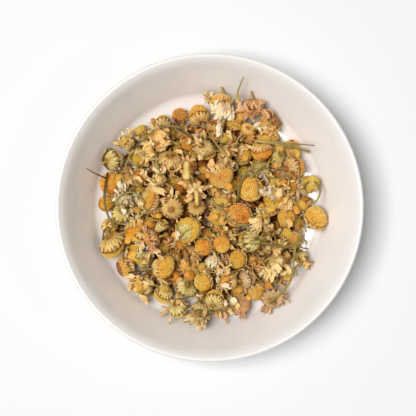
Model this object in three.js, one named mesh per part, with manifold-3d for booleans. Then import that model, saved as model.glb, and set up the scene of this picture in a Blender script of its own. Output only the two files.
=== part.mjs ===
// A glazed ceramic bowl heaped with dried chamomile flower heads and a few loose stalks.
// Millimetres, +Z up. The origin is the middle of the bowl's foot, on the surface it stands on.

import * as THREE from "three";
import Module from "manifold-3d";

const wasm = await Module();
wasm.setup();

// ---- driving dimensions ---------------------------------------------------------------

const CLEARANCE = 0.3; // between pieces that rest on each other
const ROOM = 0.12; // between the balls that stand for heads, whose facets lie a little inside

const BOWL = {
  sides: 48,
  outerSteps: 5,
  floorHeight: 5,
  lipDrop: 26.4, // where the lip's underside meets the outer wall
  outerTop: 63.5,
  footOuter: 38,
  footInner: 33,
  footRecess: 1.4,
  footTop: 2.6,
};

// The bowl's outline as radius and height: the wall from the flat floor up a tight fillet and
// a plain slope to the steep mouth, and the lip, which slopes inwards from near its edge.
const WALL = [[44.5, 5], [47.4, 5.9], [49.6, 8.2], [54.4, 14.2], [58.7, 20.2], [59.8, 23.6], [60.3, 28]];
const LIP = [[61.2, 29.7], [62.7, 30.9], [63.9, 31.3], [65, 29.4]];

const HEAP = {
  seed: 20417,
  hiddenHeads: 46, // the layer on the bowl's floor, which fills between the others
  hiddenSpread: 42,
  hiddenRadius: [3.2, 4.1],
  hiddenTries: 4000,
  hiddenTints: ["gold", "olive", "sand", "amber", "brown"],
  hiddenOffset: 0.75, // least distance in plan from a listed head, as a share of its radius
  radius: 52, // no head reaches further out
  swelling: 1.1, // all listed radii are enlarged by this
};

// One round of shaking: how far a head sinks, and its share of the way back to its place.
const SHAKE = { rounds: 400, sink: 0.12, pull: 0.02 };

const BUNCH = {
  reach: 1.3, // widest gap between the envelopes of two heads that are fused in one node
  heads: 5, // most heads in a node
  mixing: 2, // added to the gap between heads of two colour families, so that they join last
  passage: 1.4, // how far other heads stay from the line between two that are fused
};

// A petal's width, where its root lies, and how far out its tip may reach, longest first, are
// shares of the head's radius. A petal with no room to stand out of its head is left out.
const PETAL = {
  thickness: 0.7,
  width: 0.6,
  root: 0.2,
  reaches: [1.55, 1.35, 1.15],
  bends: [0, -28, 28], // degrees, which it may take to find room
  stagger: 0.35, // how far every second petal is turned on, as a share of their spacing
  ballShares: [0.55, 0.78, 1], // where along it balls stand for it
};

// A stalk's height is taken at close samples. Each point of its line takes the highest of the
// samples up to so many either side.
const STALK = { sides: 5, step: 3.2, sampleStep: 0.8, span: 2 };

// ---- flower heads: form, colour, x, y, radius, lean of the disc's axis from +Z, its turn
// about +Z from +X, number of free petals. A later head lies on the earlier ones. ---------

const HEADS = [
  // low ones, in the shade of the rest
  ["dome", "brown", -15, 26, 3.2, 140, 300, 0],
  ["dome", "brown", -37.5, 13.5, 3.2, 120, 30, 1],
  ["dome", "brown", -13, -21, 3.4, 120, 60, 1],
  ["dome", "brown", -6, -21.5, 3.8, 150, 0, 0],
  ["dome", "brown", -16, -9.5, 3.6, 100, 340, 1],
  ["dome", "brown", -2.5, -25.5, 3.4, 120, 100, 0],
  ["dome", "brown", 20.5, -18, 3.6, 130, 90, 0],
  ["dome", "brown", 22, -25.5, 3.8, 110, 45, 1],
  ["dome", "brown", 18, 0, 3.4, 100, 0, 1],
  ["dome", "brown", -3, 18.5, 3.2, 60, 0, 0],
  ["dome", "brown", 7, 29.5, 3.8, 130, 150, 1],
  ["dome", "brown", 15, 30, 4.0, 150, 30, 1],
  ["dome", "brown", 0, 33.5, 3.8, 120, 60, 1],
  ["dome", "olive", 1, 24.5, 3.6, 140, 20, 0],
  ["dome", "olive", -8, -15, 3.6, 140, 120, 1],
  ["dome", "olive", 25, 16, 3.8, 150, 160, 1],
  ["dome", "olive", -17.5, 14.5, 3.2, 150, 40, 1],
  // the outer ring, clockwise from the far side
  ["dome", "gold", -4.5, 40.5, 4.4, 145, 120, 1],
  ["dome", "sand", 24.5, 34, 4.6, 115, 25, 3],
  ["dome", "olive", 28.5, 20.5, 3.8, 150, 200, 1],
  ["dome", "sand", 34, 18.5, 4.6, 130, 10, 1],
  ["dome", "olive", 39, 9, 3.8, 85, 20, 1],
  ["dome", "gold", 43.5, -3, 5.0, 60, 60, 1],
  ["dome", "sand", 34, -12, 4.0, 65, 30, 1],
  ["tuft", "olive", 35.5, -21, 3.8, 100, 285, 4],
  ["dome", "sand", 32.5, -29, 3.2, 60, 0, 2],
  ["dome", "grey", 26, -39, 4.0, 160, 90, 2],
  ["dome", "grey", 26.5, -31, 3.6, 130, 60, 3],
  ["dome", "sand", 20.5, -37, 3.8, 45, 190, 0],
  ["dome", "rose", 13.5, -38.5, 4.3, 55, 75, 1],
  ["dome", "brown", 6.5, -41, 3.6, 120, 200, 1],
  ["tuft", "grey", -6, -43, 4.6, 110, 250, 5],
  ["dome", "olive", -13, -40.5, 4.0, 140, 300, 2],
  ["dome", "olive", -19, -38, 4.0, 120, 240, 2],
  ["tuft", "sand", -27, -33.5, 5.0, 95, 185, 4],
  ["hollow", "sand", -35, -23.5, 4.4, 75, 200, 1],
  ["dome", "olive", -39, -3.5, 4.0, 150, 250, 2],
  ["dome", "amber", -40.5, 7.5, 4.6, 35, 55, 2],
  ["tuft", "sand", -32, 26.5, 4.0, 100, 130, 4],
  ["dome", "olive", -18, 34.5, 4.0, 150, 80, 1],
  ["dome", "olive", -13.5, 31, 3.2, 120, 0, 1],
  // the middle of the heap
  ["dome", "olive", -30.5, 19.5, 4.4, 95, 250, 2],
  ["dome", "olive", -17.5, 20.5, 4.4, 155, 250, 1],
  ["dome", "amber", -9.5, 26.5, 3.7, 75, 185, 1],
  ["dome", "amber", -16, 7.5, 3.5, 45, 285, 1],
  ["tuft", "cream", -30, 2.5, 3.9, 100, 60, 4],
  ["dome", "sand", -24.5, -2.5, 4.0, 120, 280, 1],
  ["cone", "sand", -21.5, -8.5, 3.6, 90, 45, 0],
  ["tuft", "rose", -22.5, -15, 4.2, 100, 200, 4],
  ["dome", "amber", -15, -16, 3.2, 45, 20, 1],
  ["dome", "olive", -28, -20, 4.0, 100, 270, 0],
  ["dome", "olive", -9, -34.5, 4.6, 160, 230, 2],
  ["dome", "gold", -1.5, -32.5, 4.0, 60, 210, 0],
  ["dome", "olive", 1, -37, 4.2, 140, 70, 1],
  ["dome", "amber", -1, -18, 3.7, 60, 200, 0],
  ["dome", "apricot", 5.5, -9.5, 3.0, 90, 150, 1],
  ["dome", "olive", 9, -15, 4.2, 150, 190, 1],
  ["dome", "apricot", 11.5, -22, 4.4, 55, 215, 1],
  ["dome", "grey", 18, -31.5, 4.0, 120, 20, 2],
  ["tuft", "sand", 28.5, -18.5, 3.7, 100, 80, 4],
  ["dome", "gold", 26.5, -10, 4.2, 80, 110, 3],
  ["dome", "gold", 31.5, -4, 4.0, 50, 255, 3],
  ["dome", "amber", 33, 6.5, 3.8, 55, 170, 0],
  ["dome", "gold", 5, -4, 3.6, 50, 60, 1],
  ["dome", "amber", 9.5, 8.5, 3.2, 30, 40, 1],
  ["tuft", "rose", -1.5, 3, 3.6, 100, 310, 4],
  ["dome", "olive", -1.5, 10, 3.6, 150, 200, 1],
  ["tuft", "apricot", 6.5, 22, 4.0, 100, 340, 4],
  ["dome", "gold", 15.5, 21, 4.2, 50, 285, 3],
  ["dome", "amber", 21.5, 24, 4.4, 125, 300, 1],
  // on top
  ["dome", "olive", -3.5, 26, 4.6, 150, 315, 1],
  ["cone", "olive", -9.5, 17, 3.8, 95, 270, 2],
  ["tuft", "cream", -21, 12.5, 4.0, 100, 150, 5],
  ["dome", "amber", -27.5, 13, 3.8, 85, 268, 3],
  ["tuft", "apricot", -22, 28.5, 5.1, 100, 170, 5],
  ["dome", "grey", -40, 20, 4.9, 115, 40, 0],
  ["tuft", "white", -36, 2, 4.0, 140, 100, 5],
  ["dome", "amber", -31, -8.5, 4.5, 75, 275, 3],
  ["dome", "gold", -39.5, -14.5, 5.5, 140, 295, 0],
  ["hollow", "gold", -24, 4.5, 4.5, 80, 160, 0],
  ["dome", "sand", -16, -2, 4.7, 165, 60, 1],
  ["tuft", "sand", -8, 7, 5.0, 165, 110, 5],
  ["dome", "gold", -6, -1.5, 4.0, 170, 250, 0],
  ["hollow", "gold", -6, -9.5, 5.4, 35, 200, 0],
  ["dome", "gold", -20, -25, 5.0, 85, 5, 0],
  ["bud", "white", 2.5, -25, 4.2, 80, 240, 5],
  ["dome", "amber", 4, -16, 3.6, 45, 290, 2],
  ["dome", "olive", 15, -13.5, 5.0, 140, 180, 1],
  ["tuft", "apricot", 8, -29.5, 4.6, 85, 180, 4],
  ["tuft", "cream", 27.5, -24.5, 4.6, 95, 250, 5],
  ["tuft", "cream", 20, -8, 4.0, 95, 120, 5],
  ["dome", "amber", 12.5, -2.5, 4.8, 50, 225, 0],
  ["dome", "gold", 26.5, 2.5, 4.9, 80, 268, 4],
  ["dome", "gold", 19, 7, 5.4, 25, 290, 0],
  ["dome", "sand", 5, 14.5, 4.9, 65, 265, 4],
  ["tuft", "rose", 16, 39, 4.7, 100, 268, 5],
  ["dome", "gold", 5.5, 38, 4.8, 80, 262, 4],
];

// Body outlines as [radius, height] shares of the head's envelope radius, from the stalk's
// cut end up the disc's axis. Each is a ring, and the ends close on the axis.
const FORMS = {
  dome: [[0.15, -0.99], [0.7, -0.6], [1.01, -0.04], [0.92, 0.44], [0.56, 0.83]],
  tuft: [[0.15, -0.98], [0.64, -0.6], [0.94, -0.06], [0.8, 0.46], [0.46, 0.78]],
  hollow: [[0.15, -0.98], [0.76, -0.6], [1.01, 0.02], [0.86, 0.52], [0.54, 0.24]],
  cone: [[0.28, -0.95], [0.42, -0.5], [0.54, 0.1], [0.7, 0.54], [0.46, 0.74]],
  bud: [[0.15, -0.98], [0.54, -0.44], [0.72, 0.04], [0.6, 0.44], [0.34, 0.64]],
  plain: [[0.7, -0.66], [1.04, 0.02], [0.76, 0.7]],
};
const BASE = { dome: -0.99, tuft: -0.98, hollow: -0.98, cone: -0.95, bud: -0.98, plain: -0.98 };
const CROWN = { dome: 0.98, tuft: 0.9, hollow: 0.2, cone: 0.74, bud: 0.7, plain: 0.98 };
const BODY_SIDES = { shown: 6, hidden: 5 };
const DISC_ROW = 3; // the first ring of an outline that belongs to the disc of florets
const FLORET_RELIEF = 0.07; // in and out, on alternate corners of the disc's rings

// How the free petals of each form fold: angle of the tip from the disc's axis, in degrees.
const PETAL_FOLD = {
  dome: [112, 84, 128, 100],
  tuft: [64, 100, 52, 116, 78],
  hollow: [120, 105, 120, 105],
  cone: [50, 66, 40, 66],
  bud: [44, 60, 76],
};

const FAMILIES = {
  golden_heads: { tints: ["gold", "amber"], colour: 0xd9952f },
  green_heads: { tints: ["olive", "grey"], colour: 0xa39a57 },
  tan_heads: { tints: ["sand", "brown", "rose"], colour: 0xb98a55 },
  cream_heads: { tints: ["cream", "white", "apricot"], colour: 0xecd9a8 },
};

// ---- loose stalks: name, radius, plan points. Their height follows what they lie on. ----

const STALKS = [
  ["stalk_left_edge", 0.5, [[-44, 15], [-45, 9], [-45, 2], [-43.5, -4], [-40.5, -9]]],
  ["stalk_left_curl", 0.45, [[-34, 22.5], [-36, 17.5], [-33, 12], [-29, 9]]],
  ["stalk_back_left", 0.4, [[-21, 34], [-26, 31], [-29.5, 27.5]]],
  ["stalk_back", 0.55, [[13, 46], [11.5, 49], [9.5, 45], [7.5, 42]]],
  ["stalk_back_straw", 0.45, [[-21, 36], [-15, 34.5], [-9.5, 33.5]]],
  ["stalk_middle", 0.4, [[0.5, 30.5], [4.5, 25], [8.5, 20.5]]],
  ["stalk_right_long", 0.55, [[20, 28.5], [27, 27.5], [35, 26.5], [43.5, 24.5]]],
  ["stalk_right_loop", 0.45, [[41, 8.5], [43, 11], [46, 11], [48, 7.5], [47, 4], [44.5, 1]]],
  ["stalk_right_front", 0.5, [[40.5, -10], [37, -17], [36, -26], [34, -33], [29, -38], [25, -41]]],
  ["stalk_right_cross", 0.5, [[40, -14.5], [35, -16.5], [29, -16.5], [24, -15.5], [19.5, -13]]],
  ["stalk_centre_arc", 0.45, [[1.5, 2], [6, -1.5], [9, -5.5], [13, -7.5], [18, -7]]],
  ["stalk_front", 0.4, [[-5, -44], [1, -45], [6, -44], [11, -42]]],
];

const COLOURS = { glaze: 0xece6df, stalk: 0x938a48 };
const FINISH = { glaze: 0.16, dry: 0.85 };

// ---- random draws ------------------------------------------------------------------------

/** Mulberry32: returns a function that draws numbers in [0, 1) from a seed. */
function randomFrom(seed) {
  let state = seed >>> 0;
  return () => {
    state = (state + 0x6d2b79f5) >>> 0;
    let mixed = Math.imul(state ^ (state >>> 15), 1 | state);
    mixed = (mixed + Math.imul(mixed ^ (mixed >>> 7), 61 | mixed)) ^ mixed;
    return ((mixed ^ (mixed >>> 14)) >>> 0) / 4294967296;
  };
}

// ---- the bowl ------------------------------------------------------------------------------

/** The outer wall, a quarter ellipse from under the lip down to the foot. */
function outerWall() {
  const width = BOWL.outerTop - BOWL.footOuter;
  const rise = BOWL.lipDrop - BOWL.footTop;
  return Array.from({ length: BOWL.outerSteps + 1 }, (_, i) => {
    const angle = (Math.PI / 2) * (1 - i / BOWL.outerSteps);
    return new THREE.Vector2(
      BOWL.footOuter + width * Math.sin(angle),
      BOWL.lipDrop - rise * Math.cos(angle),
    );
  });
}

function makeBowl() {
  const outline = [
    new THREE.Vector2(0, BOWL.floorHeight),
    ...[...WALL, ...LIP].map(([radius, height]) => new THREE.Vector2(radius, height)),
    ...outerWall(),
    new THREE.Vector2(BOWL.footOuter, 0),
    new THREE.Vector2(BOWL.footInner, 0),
    new THREE.Vector2(BOWL.footInner, BOWL.footRecess),
    new THREE.Vector2(0, BOWL.footRecess),
  ];
  const geometry = new THREE.LatheGeometry(outline.reverse(), BOWL.sides);
  geometry.rotateX(Math.PI / 2);
  const material = new THREE.MeshStandardMaterial({
    color: COLOURS.glaze,
    roughness: FINISH.glaze,
    metalness: 0,
  });
  const mesh = new THREE.Mesh(geometry, material);
  mesh.name = "bowl";
  return mesh;
}

// ---- how things come to rest ---------------------------------------------------------------

/** Points close together on the wall, so many to each stretch of its outline. */
function wallContacts(count) {
  return WALL.slice(1).flatMap(([endOut, endHeight], index) => {
    const [out, height] = WALL[index];
    return Array.from({ length: count + 1 }, (_, i) => {
      const share = i / count;
      return { out: out + (endOut - out) * share, height: height + (endHeight - height) * share };
    });
  });
}

const WALL_CONTACTS = wallContacts(12);

/** Height at which a ball of this radius rests in the empty bowl, over a point of the plan. */
function restInBowl(x, y, radius, gap) {
  const out = Math.sqrt(x * x + y * y);
  const reach = radius + gap;
  let height = BOWL.floorHeight + reach;
  for (const contact of WALL_CONTACTS) {
    const across = out - contact.out;
    const left = reach * reach - across * across;
    if (left > 0) height = Math.max(height, contact.height + Math.sqrt(left));
  }
  return height;
}

/** Height at which a ball rests on the bowl and on the balls that already lie there. */
function restOn(balls, x, y, radius, gap) {
  let height = restInBowl(x, y, radius, gap);
  for (const ball of balls) {
    const dx = x - ball.x;
    const dy = y - ball.y;
    const reach = radius + ball.radius + gap;
    const left = reach * reach - dx * dx - dy * dy;
    if (left > 0) height = Math.max(height, ball.z + Math.sqrt(left));
  }
  return height;
}

/** True where a ball lies clear of the empty bowl. */
function isOverBowl(ball) {
  return ball.z >= restInBowl(ball.x, ball.y, ball.radius, CLEARANCE);
}

/** True where every ball keeps at least this gap to each of the others. */
function areClear(balls, others, gap) {
  return balls.every((ball) =>
    others.every((other) => {
      const dx = ball.x - other.x;
      const dy = ball.y - other.y;
      const dz = ball.z - other.z;
      const apart = ball.radius + other.radius + gap;
      return dx * dx + dy * dy + dz * dz >= apart * apart;
    }),
  );
}

/** Pushes two balls apart, half the way each, where they are too close. */
function pushApart(one, other) {
  const dx = other.x - one.x;
  const dy = other.y - one.y;
  const dz = other.z - one.z;
  const apart = one.radius + other.radius + ROOM;
  const square = dx * dx + dy * dy + dz * dz;
  if (square >= apart * apart) return;
  const distance = Math.sqrt(square);
  const share = (apart - distance) / (2 * distance);
  one.x -= dx * share;
  one.y -= dy * share;
  one.z -= dz * share;
  other.x += dx * share;
  other.y += dy * share;
  other.z += dz * share;
}

/** Holds a ball inside the heap's outline and above the bowl. */
function holdInBowl(ball) {
  const out = Math.sqrt(ball.x * ball.x + ball.y * ball.y);
  const limit = HEAP.radius - ball.radius;
  if (out > limit) {
    ball.x *= limit / out;
    ball.y *= limit / out;
  }
  ball.z = Math.max(ball.z, restInBowl(ball.x, ball.y, ball.radius, ROOM));
}

/** Shakes the heap down: every head sinks, is drawn to its own place and pushes the others. */
function shakeDown(heads) {
  const balls = heads.map((head) => ({ ...head }));
  for (let round = 0; round < SHAKE.rounds; round += 1) {
    balls.forEach((ball, index) => {
      ball.x += (heads[index].x - ball.x) * SHAKE.pull;
      ball.y += (heads[index].y - ball.y) * SHAKE.pull;
      ball.z -= SHAKE.sink;
    });
    for (let i = 0; i < balls.length; i += 1) {
      for (let j = i + 1; j < balls.length; j += 1) pushApart(balls[i], balls[j]);
    }
    balls.forEach(holdInBowl);
  }
  return balls;
}

/** Lets the shaken heads come to rest, the lowest first, clear of each other. */
function comeToRest(balls) {
  const placed = [];
  for (const ball of [...balls].sort((one, other) => one.z - other.z)) {
    placed.push({ ...ball, z: restOn(placed, ball.x, ball.y, ball.radius, ROOM) });
  }
  return placed;
}

/** True where a listed head covers this point of the plan. */
function isCovered(x, y) {
  return HEADS.some(([, , overX, overY, size]) => {
    const dx = x - overX;
    const dy = y - overY;
    const near = HEAP.hiddenOffset * size;
    return dx * dx + dy * dy < near * near;
  });
}

/** The heads on the bowl's floor: drawn places, kept where they lie clear of each other. */
function hiddenLayer() {
  const random = randomFrom(HEAP.seed);
  const [small, large] = HEAP.hiddenRadius;
  const heads = [];
  for (let tries = 0; tries < HEAP.hiddenTries && heads.length < HEAP.hiddenHeads; tries += 1) {
    const x = (random() * 2 - 1) * HEAP.hiddenSpread;
    const y = (random() * 2 - 1) * HEAP.hiddenSpread;
    const radius = small + (large - small) * random();
    const lean = Math.floor(random() * 160);
    const turn = Math.floor(random() * 360);
    if (x * x + y * y > HEAP.hiddenSpread * HEAP.hiddenSpread || isCovered(x, y)) continue;
    const ball = { x, y, z: restInBowl(x, y, radius, ROOM), radius };
    if (!areClear([ball], heads, ROOM)) continue;
    const tint = HEAP.hiddenTints[heads.length % HEAP.hiddenTints.length];
    heads.push({ ...ball, form: "plain", tint, lean, turn, petals: 0 });
  }
  return heads;
}

/** Every head of the heap, each as a ball-shaped envelope that touches no other. */
function pileHeads() {
  const falling = hiddenLayer();
  for (const [form, tint, x, y, size, lean, turn, petals] of HEADS) {
    const radius = size * HEAP.swelling;
    const z = restOn(falling, x, y, radius, ROOM);
    falling.push({ form, tint, x, y, z, radius, lean, turn, petals });
  }
  return comeToRest(shakeDown(falling));
}

// ---- bunches: neighbouring heads that are caught together ------------------------------------

/** True where a straight petal between two heads passes clear of all the others. */
function wayIsClear(heads, first, second) {
  const a = heads[first];
  const b = heads[second];
  const dx = b.x - a.x;
  const dy = b.y - a.y;
  const dz = b.z - a.z;
  const length = dx * dx + dy * dy + dz * dz;
  return heads.every((other, index) => {
    if (index === first || index === second) return true;
    const along = ((other.x - a.x) * dx + (other.y - a.y) * dy + (other.z - a.z) * dz) / length;
    const share = Math.min(1, Math.max(0, along));
    const ex = a.x + dx * share - other.x;
    const ey = a.y + dy * share - other.y;
    const ez = a.z + dz * share - other.z;
    const apart = other.radius + BUNCH.passage;
    return ex * ex + ey * ey + ez * ez > apart * apart;
  });
}

/** Pairs of near neighbours, nearest first, with pairs of one colour family before the rest. */
function nearPairs(heads) {
  const pairs = [];
  for (let i = 0; i < heads.length; i += 1) {
    for (let j = i + 1; j < heads.length; j += 1) {
      const dx = heads[i].x - heads[j].x;
      const dy = heads[i].y - heads[j].y;
      const dz = heads[i].z - heads[j].z;
      const gap = Math.sqrt(dx * dx + dy * dy + dz * dz) - heads[i].radius - heads[j].radius;
      if (gap > BUNCH.reach || !wayIsClear(heads, i, j)) continue;
      const penalty = familyOf(heads[i]) === familyOf(heads[j]) ? 0 : BUNCH.mixing;
      pairs.push({ i, j, order: gap + penalty });
    }
  }
  return pairs.sort((one, other) => one.order - other.order);
}

function familyOf(head) {
  return Object.keys(FAMILIES).find((name) => FAMILIES[name].tints.includes(head.tint));
}

/** Joins near heads into bunches; each bunch lists its heads and the pairs that hold it. */
function gatherBunches(heads) {
  const bunchOf = heads.map((_, index) => index);
  const bunches = new Map(heads.map((_, index) => [index, { members: [index], links: [] }]));
  for (const { i, j } of nearPairs(heads)) {
    const a = bunchOf[i];
    const b = bunchOf[j];
    if (a === b) continue;
    const one = bunches.get(a);
    const other = bunches.get(b);
    if (one.members.length + other.members.length > BUNCH.heads) continue;
    one.members.push(...other.members);
    one.links.push(...other.links, [i, j]);
    for (const member of other.members) bunchOf[member] = a;
    bunches.delete(b);
  }
  return [...bunches.values()];
}

// ---- solids --------------------------------------------------------------------------------

function toSolid(vertices, triangles) {
  const mesh = new wasm.Mesh({
    numProp: 3,
    vertProperties: Float32Array.from(vertices),
    triVerts: Uint32Array.from(triangles),
  });
  return new wasm.Manifold(mesh);
}

function toGeometry(solid) {
  const mesh = solid.getMesh();
  const geometry = new THREE.BufferGeometry();
  geometry.setAttribute("position", new THREE.BufferAttribute(mesh.vertProperties, 3));
  geometry.setIndex(new THREE.BufferAttribute(mesh.triVerts, 1));
  geometry.computeVertexNormals();
  return geometry;
}

/** The turn of a head: its disc's axis leans from +Z, then turns about +Z. */
function headFrame(head) {
  const turn = new THREE.Matrix4().makeRotationZ(THREE.MathUtils.degToRad(head.turn));
  const lean = new THREE.Matrix4().makeRotationY(THREE.MathUtils.degToRad(head.lean));
  const place = new THREE.Matrix4().makeTranslation(head.x, head.y, head.z);
  return place.multiply(turn).multiply(lean);
}

/** A head's body: stalk stub, green cup and disc of florets, closed on its axis. */
function headBody(head) {
  const sides = head.form === "plain" ? BODY_SIDES.hidden : BODY_SIDES.shown;
  const rings = FORMS[head.form];
  const frame = headFrame(head);
  const points = [new THREE.Vector3(0, 0, BASE[head.form])];
  rings.forEach(([radius, height], row) => {
    for (let side = 0; side < sides; side += 1) {
      const relief = row >= DISC_ROW && side % 2 === 0 ? -FLORET_RELIEF : 0;
      const angle = (2 * Math.PI * (side + (row % 2) / 2)) / sides;
      const out = radius + relief;
      points.push(new THREE.Vector3(out * Math.cos(angle), out * Math.sin(angle), height));
    }
  });
  points.push(new THREE.Vector3(0, 0, CROWN[head.form]));

  const triangles = [];
  const last = points.length - 1;
  for (let side = 0; side < sides; side += 1) {
    const next = (side + 1) % sides;
    triangles.push(0, 1 + next, 1 + side);
    for (let row = 0; row < rings.length - 1; row += 1) {
      const low = 1 + row * sides;
      const high = low + sides;
      if (row % 2 === 0) {
        triangles.push(low + side, low + next, high + side, low + next, high + next, high + side);
      } else {
        triangles.push(low + side, high + next, high + side, low + side, low + next, high + next);
      }
    }
    const top = last - sides;
    triangles.push(top + side, top + next, last);
  }
  const vertices = points.flatMap((point) =>
    point.multiplyScalar(head.radius).applyMatrix4(frame).toArray(),
  );
  return toSolid(vertices, triangles);
}

/** A petal's blade: from an edge at its root it widens to a blunt tip, across the given side. */
function blade(from, to, across, width) {
  const side = across.clone().normalize();
  const up = to.clone().sub(from).cross(side).normalize();
  const corner = (end, right, above) =>
    end
      .clone()
      .addScaledVector(side, (right * width) / 2)
      .addScaledVector(up, (above * PETAL.thickness) / 2)
      .toArray();
  const vertices = [
    ...corner(from, 0, -1),
    ...corner(from, 0, 1),
    ...corner(to, -1, -1),
    ...corner(to, 1, -1),
    ...corner(to, 1, 1),
    ...corner(to, -1, 1),
  ];
  const triangles = [0, 3, 2, 1, 5, 4, 2, 3, 4, 2, 4, 5, 0, 1, 4, 0, 4, 3, 1, 0, 2, 1, 2, 5];
  return toSolid(vertices, triangles);
}

/** Balls along the outer part of a petal, which stand for it where others must stay clear. */
function petalBalls(root, tip, radius) {
  return PETAL.ballShares.map((share) => {
    const { x, y, z } = root.clone().lerp(tip, share);
    return { x, y, z, radius };
  });
}

/**
 * The free petals of a head, spread round its collar and folded as its form does. Each bends
 * to where it has most room. Also gives the balls that stand for them.
 */
function petalsOf(head, others) {
  const frame = headFrame(head);
  const folds = PETAL_FOLD[head.form];
  const width = PETAL.width * head.radius;
  const petals = [];
  const balls = [];
  for (let k = 0; k < head.petals; k += 1) {
    const around = (2 * Math.PI * (k + PETAL.stagger * (k % 2))) / head.petals;
    const out = new THREE.Vector3(Math.cos(around), Math.sin(around), 0);
    const across = new THREE.Vector3(-Math.sin(around), Math.cos(around), 0).transformDirection(frame);
    const root = out.clone().multiplyScalar(PETAL.root * head.radius).applyMatrix4(frame);
    const tips = PETAL.reaches.flatMap((reach) =>
      PETAL.bends.map((bend) => {
        const fold = THREE.MathUtils.degToRad(folds[k % folds.length] + bend);
        const tip = out.clone().multiplyScalar(reach * head.radius * Math.sin(fold));
        tip.z = reach * head.radius * Math.cos(fold);
        return tip.applyMatrix4(frame);
      }),
    );
    const tip = tips.find((end) => {
      const along = petalBalls(root, end, width / 2);
      return areClear(along, others, CLEARANCE) && along.every(isOverBowl);
    });
    if (tip === undefined) continue;
    balls.push(...petalBalls(root, tip, width / 2));
    petals.push(blade(root, tip, across, width));
  }
  return { petals, balls };
}

/** The petal that two heads of a bunch are caught by. It lies level across its width. */
function caughtPetal(a, b) {
  const from = new THREE.Vector3(a.x, a.y, a.z);
  const to = new THREE.Vector3(b.x, b.y, b.z);
  const across = new THREE.Vector3(b.y - a.y, a.x - b.x, 0);
  if (across.length() === 0) across.set(1, 0, 0);
  return blade(from, to, across, PETAL.width * Math.min(a.radius, b.radius));
}

/** A bunch's solid. Its petals keep clear of the other heads and of all earlier petals. */
function makeBunch(heads, bunch, earlier) {
  const others = [...heads.filter((_, index) => !bunch.members.includes(index)), ...earlier];
  const solids = bunch.links.map(([i, j]) => caughtPetal(heads[i], heads[j]));
  for (const index of bunch.members) {
    const { petals, balls } = petalsOf(heads[index], others);
    solids.push(headBody(heads[index]), ...petals);
    earlier.push(...balls);
  }
  return toGeometry(solids.reduce((whole, solid) => whole.add(solid)));
}

/** The bunches' meshes, named after the colour that most of their heads have. */
function makeBunches(heads, petalsSoFar) {
  const counts = {};
  return gatherBunches(heads).map((bunch) => {
    const families = bunch.members.map((index) => familyOf(heads[index]));
    const votes = (name) => families.filter((family) => family === name).length;
    const family = [...families].sort((one, other) => votes(other) - votes(one))[0];
    counts[family] = (counts[family] ?? 0) + 1;
    const material = new THREE.MeshStandardMaterial({
      color: FAMILIES[family].colour,
      roughness: FINISH.dry,
      metalness: 0,
    });
    const mesh = new THREE.Mesh(makeBunch(heads, bunch, petalsSoFar), material);
    mesh.name = `${family}_${String(counts[family]).padStart(2, "0")}`;
    return mesh;
  });
}

// ---- stalks ----------------------------------------------------------------------------------

/** Lifts heights along a line as little as bridges every dip, as a stiff stalk does. */
function bridgeDips(heights) {
  const held = [];
  heights.forEach((height, at) => {
    while (held.length > 1) {
      const [first, second] = held.slice(-2);
      const straight = first.height + ((height - first.height) * (second.at - first.at)) / (at - first.at);
      if (second.height > straight) break;
      held.pop();
    }
    held.push({ at, height });
  });
  return heights.map((_, at) => {
    const after = Math.max(1, held.findIndex((point) => point.at >= at));
    const from = held[after - 1];
    const to = held[after];
    return from.height + ((to.height - from.height) * (at - from.at)) / (to.at - from.at);
  });
}

/** Lays a stalk's plan curve over the heap, on the high points that it meets. */
function layStalk(balls, radius, plan) {
  const flat = new THREE.CatmullRomCurve3(plan.map(([x, y]) => new THREE.Vector3(x, y, 0)));
  const samples = Math.ceil(flat.getLength() / STALK.sampleStep);
  const places = flat.getSpacedPoints(samples);
  const heights = bridgeDips(places.map(({ x, y }) => restOn(balls, x, y, radius, CLEARANCE)));
  const count = Math.max(2, Math.round((samples * STALK.sampleStep) / STALK.step));
  return Array.from({ length: count + 1 }, (_, i) => {
    const at = Math.round((i * samples) / count);
    const near = heights.slice(Math.max(0, at - STALK.span), at + STALK.span + 1);
    return new THREE.Vector3(places[at].x, places[at].y, Math.max(...near));
  });
}

function makeStalk(name, radius, points) {
  const section = new THREE.Shape();
  for (let side = 0; side < STALK.sides; side += 1) {
    const angle = (2 * Math.PI * side) / STALK.sides;
    const x = radius * Math.cos(angle);
    const y = radius * Math.sin(angle);
    if (side === 0) section.moveTo(x, y);
    else section.lineTo(x, y);
  }
  section.closePath();
  const geometry = new THREE.ExtrudeGeometry(section, {
    steps: points.length - 1,
    extrudePath: new THREE.CatmullRomCurve3(points),
    bevelEnabled: false,
  });
  const material = new THREE.MeshStandardMaterial({
    color: COLOURS.stalk,
    roughness: FINISH.dry,
    metalness: 0,
  });
  const mesh = new THREE.Mesh(geometry, material);
  mesh.name = name;
  return mesh;
}

/** The loose stalks, one after another, so that a later one lies over an earlier one. */
function makeStalks(heads, petals) {
  const balls = [...heads, ...petals];
  return STALKS.map(([name, radius, plan]) => {
    const points = layStalk(balls, radius, plan);
    const mesh = makeStalk(name, radius, points);
    const spine = new THREE.CatmullRomCurve3(points);
    const samples = Math.ceil(spine.getLength() / STALK.sampleStep);
    for (const { x, y, z } of spine.getSpacedPoints(samples)) balls.push({ x, y, z, radius });
    return mesh;
  });
}

// ---- assembly ----------------------------------------------------------------------------------

const group = new THREE.Group();
const heads = pileHeads();
const petals = [];
group.add(makeBowl(), ...makeBunches(heads, petals), ...makeStalks(heads, petals));

export default group;
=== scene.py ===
"""A glazed ceramic bowl heaped with dried chamomile flower heads and loose stalks.

Lengths are in millimetres while the heap is laid out, and in metres in the finished meshes.
"""

import logging
import math
from collections.abc import Callable, Iterable, Iterator, Sequence
from contextlib import contextmanager
from dataclasses import dataclass, field, replace
from enum import Enum, IntEnum

import bmesh
import bpy
import numpy as np
from mathutils import Matrix, Vector, noise


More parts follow.
